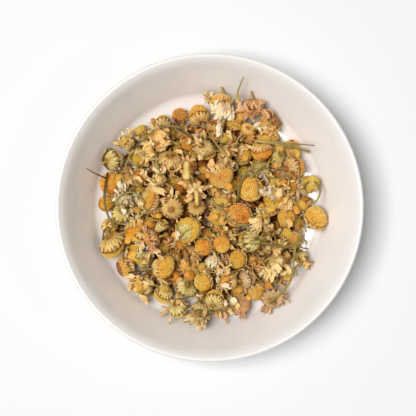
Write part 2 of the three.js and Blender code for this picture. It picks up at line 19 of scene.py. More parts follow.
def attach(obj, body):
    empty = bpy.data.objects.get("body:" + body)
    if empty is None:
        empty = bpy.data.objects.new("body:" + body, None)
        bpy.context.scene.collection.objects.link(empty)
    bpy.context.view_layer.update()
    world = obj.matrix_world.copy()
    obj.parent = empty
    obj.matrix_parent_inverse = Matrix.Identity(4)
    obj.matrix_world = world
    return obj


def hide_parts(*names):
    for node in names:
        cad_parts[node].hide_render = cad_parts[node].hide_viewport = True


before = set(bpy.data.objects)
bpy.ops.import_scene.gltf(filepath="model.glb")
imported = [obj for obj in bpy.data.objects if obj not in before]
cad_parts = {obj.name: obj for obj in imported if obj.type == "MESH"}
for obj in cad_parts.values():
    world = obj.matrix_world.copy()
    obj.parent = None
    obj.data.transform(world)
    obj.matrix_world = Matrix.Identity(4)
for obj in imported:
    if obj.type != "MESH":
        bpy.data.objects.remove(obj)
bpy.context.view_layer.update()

log = logging.getLogger("chamomile")

MM = 0.001
TURN = 2 * math.pi
GOLDEN_ANGLE = math.pi * (3 - math.sqrt(5))

Rgb = tuple[float, float, float]
Pair = tuple[float, float]
Line = tuple[Pair, ...]
Inputs = dict[str | int, object]
Array = np.ndarray
Rng = np.random.Generator
Piece = bpy.types.Object
Socket = bpy.types.NodeSocket
Material = bpy.types.Material


def srgb(red: float, green: float, blue: float) -> Rgb:
    """The linear colour of one given from 0 to 255."""
    shares = (value / 255 for value in (red, green, blue))
    return tuple(share / 12.92 if share <= 0.04045 else ((share + 0.055) / 1.055) ** 2.4 for share in shares)


# ---- what the heap is made of ----


class Form(Enum):
    """The kinds of flower head."""

    DOME, TUFT, HOLLOW, CONE, BUD, PLAIN = range(6)


class Tint(Enum):
    """The colours that dried heads have gone."""

    GOLD, AMBER, OLIVE, GREY, SAND, BROWN, ROSE, CREAM, WHITE, APRICOT = range(10)


class Part(IntEnum):
    """The parts of a flower head that differ in colour, numbered as the rows of a palette."""

    FLORET, CROWN, CORE, CUP, BRACT, PETAL, PITH, STUB = range(8)


DOME, TUFT, HOLLOW, CONE, BUD, PLAIN = Form
GOLD, AMBER, OLIVE, GREY, SAND, BROWN, ROSE, CREAM, WHITE, APRICOT = Tint


PALE_PITH = (214, 202, 128)
BROWN_PITH = (150, 94, 50)
STUB = (182, 160, 84)

# Each tint's colours, from 0 to 255: floret, crown, core, cup, bract, petal and pith.
SHADES: dict[Tint, tuple[tuple[int, int, int], ...]] = {
    GOLD: (
        (255, 210, 88), (255, 226, 116), (230, 164, 56), (224, 184, 96), (250, 220, 132),
        (253, 222, 152), PALE_PITH,
    ),
    AMBER: (
        (255, 186, 68), (255, 212, 98), (230, 142, 40), (222, 176, 92), (248, 212, 128),
        (254, 208, 130), BROWN_PITH,
    ),
    OLIVE: (
        (248, 212, 92), (238, 216, 112), (194, 156, 60), (204, 184, 98), (240, 226, 148),
        (250, 216, 140), PALE_PITH,
    ),
    GREY: (
        (230, 192, 132), (222, 194, 134), (178, 142, 88), (194, 172, 118), (230, 208, 150),
        (238, 206, 150), PALE_PITH,
    ),
    SAND: (
        (255, 210, 102), (255, 222, 124), (222, 160, 66), (226, 182, 102), (250, 218, 142),
        (254, 214, 142), BROWN_PITH,
    ),
    BROWN: (
        (222, 154, 64), (216, 150, 68), (156, 96, 36), (176, 128, 66), (224, 178, 102),
        (226, 170, 98), BROWN_PITH,
    ),
    ROSE: (
        (244, 184, 116), (238, 190, 130), (194, 130, 78), (200, 140, 104), (232, 176, 138),
        (242, 180, 140), BROWN_PITH,
    ),
    CREAM: (
        (255, 210, 92), (255, 222, 112), (226, 160, 56), (222, 192, 106), (250, 226, 148),
        (255, 224, 156), PALE_PITH,
    ),
    WHITE: (
        (255, 210, 92), (254, 218, 110), (224, 158, 56), (138, 138, 66), (248, 238, 193),
        (255, 240, 207), PALE_PITH,
    ),
    APRICOT: (
        (255, 198, 86), (255, 214, 104), (228, 148, 48), (226, 182, 98), (250, 216, 140),
        (255, 204, 128), BROWN_PITH,
    ),
}

# The same as linear colours, one row for each Part.
PALETTES: dict[Tint, Array] = {
    tint: np.array([srgb(*colour) for colour in (*row, STUB)]) for tint, row in SHADES.items()
}

FAMILIES: dict[str, tuple[Tint, ...]] = {
    "golden_heads": (GOLD, AMBER),
    "green_heads": (OLIVE, GREY),
    "tan_heads": (SAND, BROWN, ROSE),
    "cream_heads": (CREAM, WHITE, APRICOT),
}

# Flower heads: form, colour, x, y, radius, lean of the disc's axis from +Z, its turn about +Z
# from +X, and a measure of how many petals it has left. A later head lies on the earlier ones.
HEADS = (
    # low ones, in the shade of the rest
    (DOME, BROWN, -15, 26, 3.2, 140, 300, 0), (DOME, BROWN, -37.5, 13.5, 3.2, 120, 30, 1),
    (DOME, BROWN, -13, -21, 3.4, 120, 60, 1), (DOME, BROWN, -6, -21.5, 3.8, 150, 0, 0),
    (DOME, BROWN, -16, -9.5, 3.6, 100, 340, 1), (DOME, BROWN, -2.5, -25.5, 3.4, 120, 100, 0),
    (DOME, BROWN, 20.5, -18, 3.6, 130, 90, 0), (DOME, BROWN, 22, -25.5, 3.8, 110, 45, 1),
    (DOME, BROWN, 18, 0, 3.4, 100, 0, 1), (DOME, BROWN, -3, 18.5, 3.2, 60, 0, 0),
    (DOME, BROWN, 7, 29.5, 3.8, 130, 150, 1), (DOME, BROWN, 15, 30, 4.0, 150, 30, 1),
    (DOME, BROWN, 0, 33.5, 3.8, 120, 60, 1), (DOME, OLIVE, 1, 24.5, 3.6, 140, 20, 0),
    (DOME, OLIVE, -8, -15, 3.6, 140, 120, 1), (DOME, OLIVE, 25, 16, 3.8, 150, 160, 1),
    (DOME, OLIVE, -17.5, 14.5, 3.2, 150, 40, 1),
    # the outer ring, clockwise from the far side
    (DOME, GOLD, -4.5, 40.5, 4.4, 118, 110, 0), (HOLLOW, SAND, 24.5, 34, 4.6, 40, 30, 1),
    (DOME, OLIVE, 28.5, 20.5, 3.8, 150, 200, 1), (DOME, SAND, 34, 18.5, 4.6, 130, 10, 1),
    (DOME, OLIVE, 39, 9, 3.8, 85, 20, 1), (DOME, GOLD, 43.5, -3, 5.0, 60, 60, 1),
    (DOME, SAND, 34, -12, 4.0, 65, 30, 1), (TUFT, OLIVE, 35.5, -21, 3.8, 100, 285, 4),
    (DOME, SAND, 32.5, -29, 3.2, 60, 0, 2), (DOME, GREY, 26, -39, 4.0, 160, 90, 2),
    (DOME, GREY, 26.5, -31, 3.6, 130, 60, 3), (DOME, SAND, 20.5, -37, 3.8, 45, 190, 0),
    (DOME, ROSE, 13.5, -38.5, 4.3, 55, 75, 1), (DOME, BROWN, 6.5, -41, 3.6, 120, 200, 1),
    (TUFT, GREY, -6, -43, 4.6, 110, 250, 5), (DOME, OLIVE, -13, -40.5, 4.0, 140, 300, 2),
    (DOME, OLIVE, -19, -38, 4.0, 120, 240, 2), (TUFT, SAND, -27, -33.5, 5.0, 95, 185, 4),
    (HOLLOW, SAND, -35, -23.5, 4.4, 75, 200, 1), (DOME, OLIVE, -39, -3.5, 4.0, 150, 250, 2),
    (DOME, AMBER, -40.5, 7.5, 4.6, 35, 55, 2), (TUFT, SAND, -32, 26.5, 4.0, 100, 130, 4),
    (DOME, OLIVE, -18, 34.5, 4.0, 150, 80, 1), (DOME, OLIVE, -13.5, 31, 3.2, 120, 0, 1),
    # the middle of the heap
    (DOME, OLIVE, -30.5, 19.5, 4.4, 95, 250, 2), (DOME, OLIVE, -17.5, 20.5, 4.4, 155, 250, 1),
    (DOME, AMBER, -9.5, 26.5, 3.7, 75, 185, 1), (DOME, AMBER, -16, 7.5, 3.5, 45, 285, 1),
    (TUFT, CREAM, -30, 2.5, 3.9, 100, 60, 4), (DOME, SAND, -24.5, -2.5, 4.0, 120, 280, 1),
    (CONE, SAND, -21.5, -8.5, 3.6, 90, 45, 0), (TUFT, ROSE, -22.5, -15, 4.2, 100, 200, 4),
    (DOME, AMBER, -15, -16, 3.2, 45, 20, 1), (DOME, OLIVE, -28, -20, 4.0, 100, 270, 0),
    (DOME, OLIVE, -9, -34.5, 4.6, 160, 230, 2), (DOME, GOLD, -1.5, -32.5, 4.0, 60, 210, 0),
    (DOME, OLIVE, 1, -37, 4.2, 140, 70, 1), (DOME, AMBER, -1, -18, 3.7, 60, 200, 0),
    (DOME, APRICOT, 5.5, -9.5, 3.0, 90, 150, 1), (DOME, OLIVE, 9, -15, 4.2, 150, 190, 1),
    (DOME, APRICOT, 11.5, -22, 4.4, 55, 215, 1), (DOME, GREY, 18, -31.5, 4.0, 120, 20, 2),
    (TUFT, SAND, 28.5, -18.5, 3.7, 100, 80, 4), (DOME, GOLD, 26.5, -10, 4.2, 80, 110, 3),
    (DOME, GOLD, 31.5, -4, 4.0, 50, 255, 3), (HOLLOW, AMBER, 33, 6.5, 3.8, 30, 170, 0),
    (DOME, GOLD, 5, -4, 3.6, 50, 60, 1), (DOME, AMBER, 9.5, 8.5, 3.2, 30, 40, 1),
    (TUFT, ROSE, -1.5, 3, 3.6, 100, 310, 4), (DOME, OLIVE, -1.5, 10, 3.6, 150, 200, 1),
    (TUFT, APRICOT, 6.5, 22, 4.0, 100, 340, 4), (DOME, GOLD, 15.5, 21, 4.2, 50, 285, 3),
    (DOME, AMBER, 21.5, 24, 4.4, 108, 275, 0),
    # on top
    (DOME, OLIVE, -3.5, 26, 4.6, 150, 315, 1), (CONE, OLIVE, -9.5, 17, 3.8, 95, 270, 2),
    (TUFT, CREAM, -21, 12.5, 4.0, 100, 150, 5), (DOME, AMBER, -27.5, 13, 3.8, 85, 268, 3),
    (TUFT, APRICOT, -22, 28.5, 5.1, 100, 170, 5), (DOME, GREY, -40, 20, 4.9, 138, 20, 0),
    (TUFT, WHITE, -36, 2, 4.0, 140, 100, 5), (DOME, AMBER, -31, -8.5, 4.5, 75, 275, 3),
    (DOME, GOLD, -39.5, -14.5, 5.5, 126, 285, 0), (HOLLOW, GOLD, -24, 4.5, 4.5, 80, 160, 0),
    (DOME, SAND, -16, -2, 4.7, 165, 60, 1), (TUFT, SAND, -8, 7, 5.0, 160, 260, 2),
    (DOME, GOLD, -6, -1.5, 4.0, 170, 250, 0), (HOLLOW, GOLD, -6, -9.5, 5.4, 35, 200, 0),
    (DOME, GOLD, -20, -25, 5.0, 98, 5, 2), (BUD, WHITE, 2.5, -25, 4.2, 80, 240, 5),
    (DOME, AMBER, 4, -16, 3.6, 45, 290, 2), (DOME, OLIVE, 15, -13.5, 5.0, 140, 180, 1),
    (TUFT, APRICOT, 8, -29.5, 4.6, 85, 180, 4), (TUFT, CREAM, 27.5, -24.5, 4.6, 95, 250, 5),
    (TUFT, CREAM, 20, -8, 4.0, 95, 120, 5), (DOME, AMBER, 12.5, -2.5, 4.8, 50, 225, 0),
    (DOME, GOLD, 26.5, 2.5, 4.9, 80, 268, 4), (DOME, GOLD, 19, 7, 5.4, 25, 290, 0),
    (DOME, SAND, 5, 14.5, 4.9, 65, 265, 4), (TUFT, ROSE, 16, 39, 4.7, 100, 268, 5),
    (DOME, GOLD, 5.5, 38, 4.8, 80, 262, 4),
)


@dataclass
class Head:
    """A flower head as the ball that stands for it, and what it looks like."""

    form: Form
    tint: Tint
    x: float
    y: float
    z: float
    radius: float
    lean: float
    turn: float
    petals: int

    def frame(self, fullness: float = 1.1) -> Array:
        """The matrix that takes a head of radius 1, its disc facing +Z, to its place.

        Args:
            fullness: How much larger than its ball it is, pressed in among its neighbours.

        Returns:
            A 4 by 4 matrix.
        """
        place = Matrix.Translation((self.x, self.y, self.z))
        turn = Matrix.Rotation(math.radians(self.turn), 4, "Z")
        lean = Matrix.Rotation(math.radians(self.lean), 4, "Y")
        return np.array(place @ turn @ lean @ Matrix.Scale(self.radius * fullness, 4))


@dataclass
class BowlSizes:
    """The bowl's outline, in millimetres."""

    floor_height: float = 5
    wall: Line = (
        (44.5, 5), (47.4, 5.9), (49.6, 8.2), (54.4, 14.2), (58.7, 20.2), (59.8, 23.6), (60.3, 28),
    )
    lip: Line = (
        (61.3, 28.7), (62.3, 29.9), (63.2, 30.75), (63.9, 31.2), (64.75, 30.6), (64.99, 29.2), (64.6, 27.6),
        (63.6, 26.6),
    )
    lip_drop: float = 26.4
    outer_top: float = 63.5
    foot_outer: float = 38
    foot_inner: float = 33
    foot_recess: float = 1.4
    foot_top: float = 2.6


class Draws:
    """Draws numbers in [0, 1) from a seed by the rule that mulberry32 follows."""

    def __init__(self, seed: int) -> None:
        """Starts at the given seed."""
        self.state = seed

    def __call__(self) -> float:
        """The next number.

        Returns:
            A number in [0, 1).
        """
        word = 0xFFFFFFFF
        self.state = (self.state + 0x6D2B79F5) & word
        mixed = ((self.state ^ (self.state >> 15)) * (1 | self.state)) & word
        mixed = ((mixed + (((mixed ^ (mixed >> 7)) * (61 | mixed)) & word)) & word) ^ mixed
        return (mixed ^ (mixed >> 14)) / 4294967296


@dataclass
class Heap:
    """Piles the flower heads by the rule that places the solids, so that each is the same."""

    bowl: BowlSizes = field(default_factory=BowlSizes)
    room: float = 0.12
    seed: int = 20417
    hidden_heads: int = 46
    hidden_spread: float = 42
    hidden_radius: Pair = (3.2, 4.1)
    hidden_tries: int = 4000
    hidden_tints: tuple[Tint, ...] = (GOLD, OLIVE, SAND, AMBER, BROWN)
    hidden_offset: float = 0.75
    radius: float = 52
    swelling: float = 1.1
    rounds: int = 400
    sink: float = 0.12
    far: float = 26.0  # heads further apart than this in the plan never meet
    pull: float = 0.02
    reach: float = 1.3
    most_heads: int = 5
    mixing: float = 2
    passage: float = 1.4
    wall_steps: int = 12

    def __post_init__(self) -> None:
        """Lists the contacts on the wall and piles the heads."""
        wall = self.bowl.wall
        self.contacts: list[Pair] = []
        for (out, height), (end_out, end_height) in zip(wall, wall[1:]):
            for i in range(self.wall_steps + 1):
                share = i / self.wall_steps
                self.contacts.append((out + (end_out - out) * share, height + (end_height - height) * share))
        self.heads = self._pile()

    def rest_in_bowl(self, x: float, y: float, radius: float, gap: float) -> float:
        """The height at which a ball rests in the empty bowl.

        Args:
            x, y: Its place in the plan.
            radius: Its radius.
            gap: The gap that it keeps to the glaze.

        Returns:
            The height of its middle.
        """
        out = math.sqrt(x * x + y * y)
        reach = radius + gap
        height = self.bowl.floor_height + reach
        if out + reach < self.bowl.wall[0][0]:
            return height
        for wall_out, wall_height in self.contacts:
            across = out - wall_out
            left = reach * reach - across * across
            if left > 0:
                height = max(height, wall_height + math.sqrt(left))
        return height

    def rest_on(self, balls: Sequence[Head], x: float, y: float, radius: float, gap: float) -> float:
        """The height at which a ball rests on the bowl and on other balls.

        Args:
            balls: What lies there already.
            x, y: Its place in the plan.
            radius: Its radius.
            gap: The gap that it keeps.

        Returns:
            The height of its middle.
        """
        height = self.rest_in_bowl(x, y, radius, gap)
        for ball in balls:
            dx = x - ball.x
            dy = y - ball.y
            reach = radius + ball.radius + gap
            left = reach * reach - dx * dx - dy * dy
            if left > 0:
                height = max(height, ball.z + math.sqrt(left))
        return height

    def _hidden_layer(self) -> list[Head]:
        """The heads on the bowl's floor: drawn places, kept where they lie clear.

        Returns:
            The layer.
        """
        draw = Draws(self.seed)
        small, large = self.hidden_radius
        heads: list[Head] = []
        for _ in range(self.hidden_tries):
            if len(heads) == self.hidden_heads:
                break
            x = (draw() * 2 - 1) * self.hidden_spread
            y = (draw() * 2 - 1) * self.hidden_spread
            radius = small + (large - small) * draw()
            lean = math.floor(draw() * 160)
            turn = math.floor(draw() * 360)
            if x * x + y * y > self.hidden_spread * self.hidden_spread or self._is_covered(x, y):
                continue
            z = self.rest_in_bowl(x, y, radius, self.room)
            if any(self._is_near(x, y, z, radius, head) for head in heads):
                continue
            tint = self.hidden_tints[len(heads) % len(self.hidden_tints)]
            heads.append(Head(PLAIN, tint, x, y, z, radius, lean, turn, 0))
        return heads

    def _is_covered(self, x: float, y: float) -> bool:
        """True where a listed head covers this point of the plan.

        Args:
            x, y: The point.

        Returns:
            Whether one does.
        """
        for _, _, over_x, over_y, size, *_ in HEADS:
            near = self.hidden_offset * size
            if (x - over_x) * (x - over_x) + (y - over_y) * (y - over_y) < near * near:
                return True
        return False

    def _is_near(self, x: float, y: float, z: float, radius: float, other: Head) -> bool:
        """True where a ball comes closer to another than the room between them.

        Args:
            x, y, z: Its middle.
            radius: Its radius.
            other: The other.

        Returns:
            Whether it does.
        """
        dx, dy, dz = x - other.x, y - other.y, z - other.z
        apart = radius + other.radius + self.room
        return dx * dx + dy * dy + dz * dz < apart * apart

    def _pile(self) -> list[Head]:
        """Drops the heads, shakes the heap down and lets it come to rest.

        Returns:
            The heads at rest.
        """
        falling = self._hidden_layer()
        for form, tint, x, y, size, lean, turn, petals in HEADS:
            radius = size * self.swelling
            z = self.rest_on(falling, x, y, radius, self.room)
            falling.append(Head(form, tint, x, y, z, radius, lean, turn, petals))
        shaken = self._shake(falling)
        placed: list[Head] = []
        for head in sorted(shaken, key=lambda one: one.z):
            z = self.rest_on(placed, head.x, head.y, head.radius, self.room)
            placed.append(replace(head, z=z))
        return placed

    def _shake(self, heads: Sequence[Head]) -> list[Head]:
        """Shakes the heap down: heads sink, are drawn to their places and push each other.

        Args:
            heads: The heads as they fell.

        Returns:
            The heads as they are shaken down.
        """
        count = len(heads)
        xs, ys, zs = ([getattr(head, axis) for head in heads] for axis in "xyz")
        radii = [head.radius for head in heads]
        pairs = [
            (i, j, radii[i] + radii[j] + self.room)
            for i in range(count)
            for j in range(i + 1, count)
            if (xs[i] - xs[j]) ** 2 + (ys[i] - ys[j]) ** 2 < self.far * self.far
        ]
        for _ in range(self.rounds):
            for i, head in enumerate(heads):
                xs[i] += (head.x - xs[i]) * self.pull
                ys[i] += (head.y - ys[i]) * self.pull
                zs[i] -= self.sink
            for i, j, apart in pairs:
                dx, dy, dz = xs[j] - xs[i], ys[j] - ys[i], zs[j] - zs[i]
                square = dx * dx + dy * dy + dz * dz
                if square >= apart * apart:
                    continue
                distance = math.sqrt(square)
                share = (apart - distance) / (2 * distance)
                xs[i] -= dx * share
                ys[i] -= dy * share
                zs[i] -= dz * share
                xs[j] += dx * share
                ys[j] += dy * share
                zs[j] += dz * share
            for i in range(count):
                out = math.sqrt(xs[i] * xs[i] + ys[i] * ys[i])
                limit = self.radius - radii[i]
                if out > limit:
                    xs[i] *= limit / out
                    ys[i] *= limit / out
                zs[i] = max(zs[i], self.rest_in_bowl(xs[i], ys[i], radii[i], self.room))
        return [replace(head, x=xs[i], y=ys[i], z=zs[i]) for i, head in enumerate(heads)]

    def _way_is_clear(self, first: int, second: int) -> bool:
        """True where a straight petal between two heads passes clear of all the others.

        Args:
            first, second: The two heads' numbers.

        Returns:
            Whether it does.
        """
        a, b = self.heads[first], self.heads[second]
        dx, dy, dz = b.x - a.x, b.y - a.y, b.z - a.z
        length = dx * dx + dy * dy + dz * dz
        for index, other in enumerate(self.heads):
            if index in (first, second):
                continue
            along = ((other.x - a.x) * dx + (other.y - a.y) * dy + (other.z - a.z) * dz) / length
            share = min(1, max(0, along))
            ex = a.x + dx * share - other.x
            ey = a.y + dy * share - other.y
            ez = a.z + dz * share - other.z
            apart = other.radius + self.passage
            if ex * ex + ey * ey + ez * ez <= apart * apart:
                return False
        return True

    def bunches(self) -> dict[str, list[Head]]:
        """The heads that hang together, by the name of the solid that they make up.

        Returns:
            The bunches.
        """
        pairs = []
        for i, one in enumerate(self.heads):
            for j in range(i + 1, len(self.heads)):
                other = self.heads[j]
                dx, dy, dz = one.x - other.x, one.y - other.y, one.z - other.z
                gap = math.sqrt(dx * dx + dy * dy + dz * dz) - one.radius - other.radius
                if gap > self.reach or not self._way_is_clear(i, j):
                    continue
                same = family_of(one) == family_of(other)
                pairs.append((gap + (0 if same else self.mixing), i, j))
        owner = list(range(len(self.heads)))
        groups = {index: [index] for index in owner}
        for _, i, j in sorted(pairs, key=lambda pair: pair[0]):
            a, b = owner[i], owner[j]
            if a == b or len(groups[a]) + len(groups[b]) > self.most_heads:
                continue
            for member in groups[b]:
                owner[member] = a
            groups[a] += groups.pop(b)
        counts: dict[str, int] = {}
        named: dict[str, list[Head]] = {}
        for members in groups.values():
            families = [family_of(self.heads[index]) for index in members]
            family = max(families, key=families.count)
            counts[family] = counts.get(family, 0) + 1
            named[f"{family}_{counts[family]:02d}"] = [self.heads[index] for index in members]
        return named


def family_of(head: Head) -> str:
    """The colour family that a head belongs to."""
    return next(name for name, tints in FAMILIES.items() if head.tint in tints)


# ---- modelling by hand ----


class Bench:
    """Primitives, edit-mode steps and modifiers, each with nothing else selected."""

    @staticmethod
    def add(operator: Callable[..., set], name: str, **sizes: object) -> Piece:
        """Adds a primitive.

        Args:
            operator: The operator that adds it.
            name: Its name.
            **sizes: The operator's settings.

        Returns:
            The new object, which is the active one.
        """
        bpy.ops.object.select_all(action="DESELECT")
        operator(**sizes)
        piece = bpy.context.active_object
        piece.name = piece.data.name = name
        return piece

    @staticmethod
    @contextmanager
    def editing(piece: Piece) -> Iterator[None]:
        """Edit mode on one piece, with all of it selected at first.

        Args:
            piece: The piece.

        Yields:
            Nothing: the steps in edit mode are taken while it waits.
        """
        bpy.context.view_layer.objects.active = piece
        bpy.ops.object.mode_set(mode="EDIT")
        bpy.ops.mesh.select_mode(type="VERT")
        bpy.ops.mesh.select_all(action="SELECT")
        try:
            yield
        finally:
            bpy.ops.object.mode_set(mode="OBJECT")

    @staticmethod
    def pick(piece: Piece, rule: Callable[[Vector], bool]) -> None:
        """Selects the vertices whose place meets a rule, in edit mode.

        Args:
            piece: The piece.
            rule: Says of a place whether it is selected.
        """
        mesh = bmesh.from_edit_mesh(piece.data)
        for vertex in mesh.verts:
            vertex.select_set(rule(vertex.co))
        mesh.select_flush_mode()
        bmesh.update_edit_mesh(piece.data)

    @staticmethod
    def modify(piece: Piece, kind: str, **settings: object) -> None:
        """Adds a modifier with its settings and applies it.

        Args:
            piece: The piece.
            kind: The modifier's kind.
            **settings: Its settings.
        """
        modifier = piece.modifiers.new(kind.lower(), kind)
        for name, value in settings.items():
            setattr(modifier, name, value)
        bpy.context.view_layer.objects.active = piece
        bpy.ops.object.modifier_apply(modifier=modifier.name)

    @staticmethod
    def spin(name: str, outline: Sequence[Pair], steps: int) -> Piece:
        """Spins an outline about Z into a closed body.

        Args:
            name: The piece's name.
            outline: (radius, height) points; it starts and ends on the axis.
            steps: How many sides the body has.

        Returns:
            The piece, its faces pointing out.
        """
        piece = Bench.add(bpy.ops.mesh.primitive_circle_add, name, vertices=3, radius=1)
        with Bench.editing(piece):
            Bench.pick(piece, lambda place: place.x != 0)
            bpy.ops.mesh.delete(type="VERT")
            bpy.ops.mesh.select_all(action="SELECT")
            radius, height = outline[0]  # the vertex that is left lies at (0, 1, 0)
            bpy.ops.transform.translate(value=(radius, -1, height))
            for (r0, z0), (r1, z1) in zip(outline, outline[1:]):
                bpy.ops.mesh.extrude_vertices_move(TRANSFORM_OT_translate={"value": (r1 - r0, 0, z1 - z0)})
            bpy.ops.mesh.select_all(action="SELECT")
            bpy.ops.mesh.spin(steps=steps, angle=TURN, center=(0, 0, 0), axis=(0, 0, 1))
            bpy.ops.mesh.select_all(action="SELECT")
            bpy.ops.mesh.remove_doubles(threshold=1e-6)
            bpy.ops.mesh.normals_make_consistent(inside=False)
        return piece


# ---- small shapes, modelled once ----

FINISH_OF = np.array([0, 0, 0, 1, 1, 2, 3, 4])  # a part's place among the material slots

# What a colour is multiplied by where it leans all the way to dark or to light.
DARKEST = np.array([0.5, 0.3, 0.14])
LIGHTEST = np.array([1.14, 1.17, 1.34])


@dataclass
class Pattern:
    """A shape as arrays, from which each copy's own mesh is made.

    Attributes:
        points: The vertices' places.
        corners, sizes: The vertices of each face, one face after another, and how many it has.
        parts: Each vertex's part of the flower.
        form: Each vertex's place across and along its leaf, and how far it stands out, which sets the shade
            painted into its hollows.
        vary: How far each vertex's colour leans from its part's, from -1 to 1.
    """

    points: Array
    corners: Array
    sizes: Array
    parts: Array
    form: Array
    vary: Array

    @classmethod
    def taken_from(cls, piece: Piece, part: Part) -> "Pattern":
        """Takes a modelled piece's mesh into arrays, and the piece off the bench.

        Args:
            piece: The modelled piece.
            part: The part of the flower that it is.

        Returns:
            The pattern.
        """
        mesh = piece.data
        count = len(mesh.vertices)
        points = np.empty(count * 3)
        mesh.vertices.foreach_get("co", points)
        corners = np.empty(len(mesh.loops), dtype=np.int64)
        mesh.loops.foreach_get("vertex_index", corners)
        sizes = np.empty(len(mesh.polygons), dtype=np.int64)
        mesh.polygons.foreach_get("loop_total", sizes)
        bpy.data.meshes.remove(mesh)
        places = points.reshape(-1, 3)
        return cls(places, corners, sizes, np.full(count, part), np.zeros((count, 3)), np.zeros(count))

    def placed(self, matrix: Array, vary: float = 0.0) -> "Pattern":
        """A copy moved by a 4 by 4 matrix, its colour leaning further as a whole."""
        points = self.points @ matrix[:3, :3].T + matrix[:3, 3]
        return replace(self, points=points, vary=self.vary + vary)

    @staticmethod
    def joined(patterns: Sequence["Pattern"]) -> "Pattern":
        """Several patterns as one.

        Args:
            patterns: The patterns.

        Returns:
            The one pattern.
        """
        starts = np.cumsum([0] + [len(pattern.points) for pattern in patterns])
        rows = {
            name: np.concatenate([getattr(pattern, name) for pattern in patterns])
            for name in ("points", "sizes", "parts", "form", "vary")
        }
        corners = [pattern.corners + start for pattern, start in zip(patterns, starts)]
        return Pattern(corners=np.concatenate(corners), **rows)

    def coloured(self, palette: Array) -> "Copy":
        """The pattern with its vertices' colours, from a palette with a row for each part.

        Args:
            palette: The palette.

        Returns:
            The pattern and the colours.
        """
        base = palette[self.parts]
        lean = self.vary[:, None]
        far = base * np.where(lean < 0, DARKEST, LIGHTEST)
        return self, base + (far - base) * np.abs(lean)


Copy = tuple[Pattern, Array]


class HeapSurface:
    """How deep a place lies under the heap's surface, which is smoothed over a few millimetres, and the shade
    and light that are painted by that depth.
    """

    browned = np.array([0.34, 0.13, 0.0])  # painted shade: what is left of a colour at the greatest depth
    # Painted light: the cream that what stands out of the heap is paled towards.
    bleached = np.array([0.98, 0.74, 0.4])

    def __init__(self, heads: Sequence[Head], floor: float, half: float = 56, step: float = 0.8) -> None:
        """Maps the surface.

        Args:
            heads: The heap's heads.
            floor: The height of the bowl's floor.
            half: Half the map's width.
            step: How far apart its points lie.
        """
        self.half, self.step = half, step
        axis = np.arange(-half, half + step, step)
        x, y = np.meshgrid(axis, axis, indexing="ij")
        top = np.full(x.shape, floor)
        for head in heads:
            left = head.radius**2 - (x - head.x) ** 2 - (y - head.y) ** 2
            top = np.maximum(top, np.where(left > 0, head.z + np.sqrt(np.maximum(left, 0)), 0))
        for way in (0, 1) * 3:
            top = sum(np.roll(top, shift, way) for shift in (-2, -1, 0, 1, 2)) / 5
        self.top = top

    def depth(self, points: Array) -> Array:
        """How deep each point lies, below 0 where it stands out of the surface."""
        cells = np.clip(((points[:, :2] + self.half) / self.step).round().astype(int), 0, len(self.top) - 1)
        return self.top[cells[:, 0], cells[:, 1]] - points[:, 2]

    def stained(self, points: Array, colours: Array) -> Array:
        """Colours with painted shade, darker and browner the deeper they lie, and painted light, paler where
        they stand out.

        Args:
            points: The vertices' places.
            colours: Their colours.

        Returns:
            The colours with the painted shade and light.
        """
        depth = self.depth(points)
        deep = np.clip((depth - 1.0) / 5.5, 0, 1)[:, None]
        out = np.clip(-depth / 3.0, 0, 1)[:, None]
        # Painted shade deep in the heap, then painted light where it stands out.
        stained = colours * (1 - deep * (1 - self.browned))
        return stained + (self.bleached - stained) * 0.1 * out


def make_mesh(name: str, pattern: Pattern, colours: Array) -> Piece:
    """Makes a piece with its own mesh, in metres, from a pattern in millimetres.

    Args:
        name: The piece's name.
        pattern: Its shape.
        colours: Its vertices' colours.

    Returns:
        The new piece.
    """
    mesh = bpy.data.meshes.new(name)
    mesh.vertices.add(len(pattern.points))
    mesh.vertices.foreach_set("co", (pattern.points * MM).ravel())
    mesh.loops.add(len(pattern.corners))
    mesh.loops.foreach_set("vertex_index", pattern.corners)
    mesh.polygons.add(len(pattern.sizes))
    starts = np.cumsum(pattern.sizes) - pattern.sizes
    mesh.polygons.foreach_set("loop_start", starts)
    finish = FINISH_OF[pattern.parts[pattern.corners[starts]]]
    mesh.polygons.foreach_set("material_index", finish)
    mesh.polygons.foreach_set("use_smooth", np.ones(len(starts), dtype=bool))
    tint = mesh.attributes.new("tint", "FLOAT_COLOR", "POINT")
    tint.data.foreach_set("color", np.column_stack([np.clip(colours, 0, 1), np.ones(len(colours))]).ravel())
    form = mesh.attributes.new("form", "FLOAT_VECTOR", "POINT")
    form.data.foreach_set("vector", pattern.form.ravel())
    mesh.update(calc_edges=True)
    mesh.validate()
    piece = bpy.data.objects.new(name, mesh)
    bpy.context.scene.collection.objects.link(piece)
    return piece


def turned(axis: Array, spin: float, scale: Sequence[float], place: Array) -> Array:
    """The matrix that stands a shape's +Z along an axis.

    Args:
        axis: The way that +Z goes.
        spin: A turn about it.
        scale: The shape's scale before it is turned.
        place: Where its origin goes.

    Returns:
        A 4 by 4 matrix.
    """
    rotation = Vector(axis).to_track_quat("Z", "Y").to_matrix() @ Matrix.Rotation(spin, 3, "Z")
    matrix = np.eye(4)
    matrix[:3, :3] = np.array(rotation) * np.array(scale)
    matrix[:3, 3] = place
    return matrix


def rolled(turn: float, lean: float, roll: float = 0.0) -> Matrix:
    """A roll about X, then a lean about Y and a turn about Z."""
    return Matrix.Rotation(turn, 4, "Z") @ Matrix.Rotation(lean, 4, "Y") @ Matrix.Rotation(roll, 4, "X")


def make_ball(part: Part, sides: int, rings: int) -> Pattern:
    """A ball of radius 1, to be pressed and creased."""
    ball = Bench.add(bpy.ops.mesh.primitive_uv_sphere_add, "ball", segments=sides, ring_count=rings, radius=1)
    return Pattern.taken_from(ball, part)


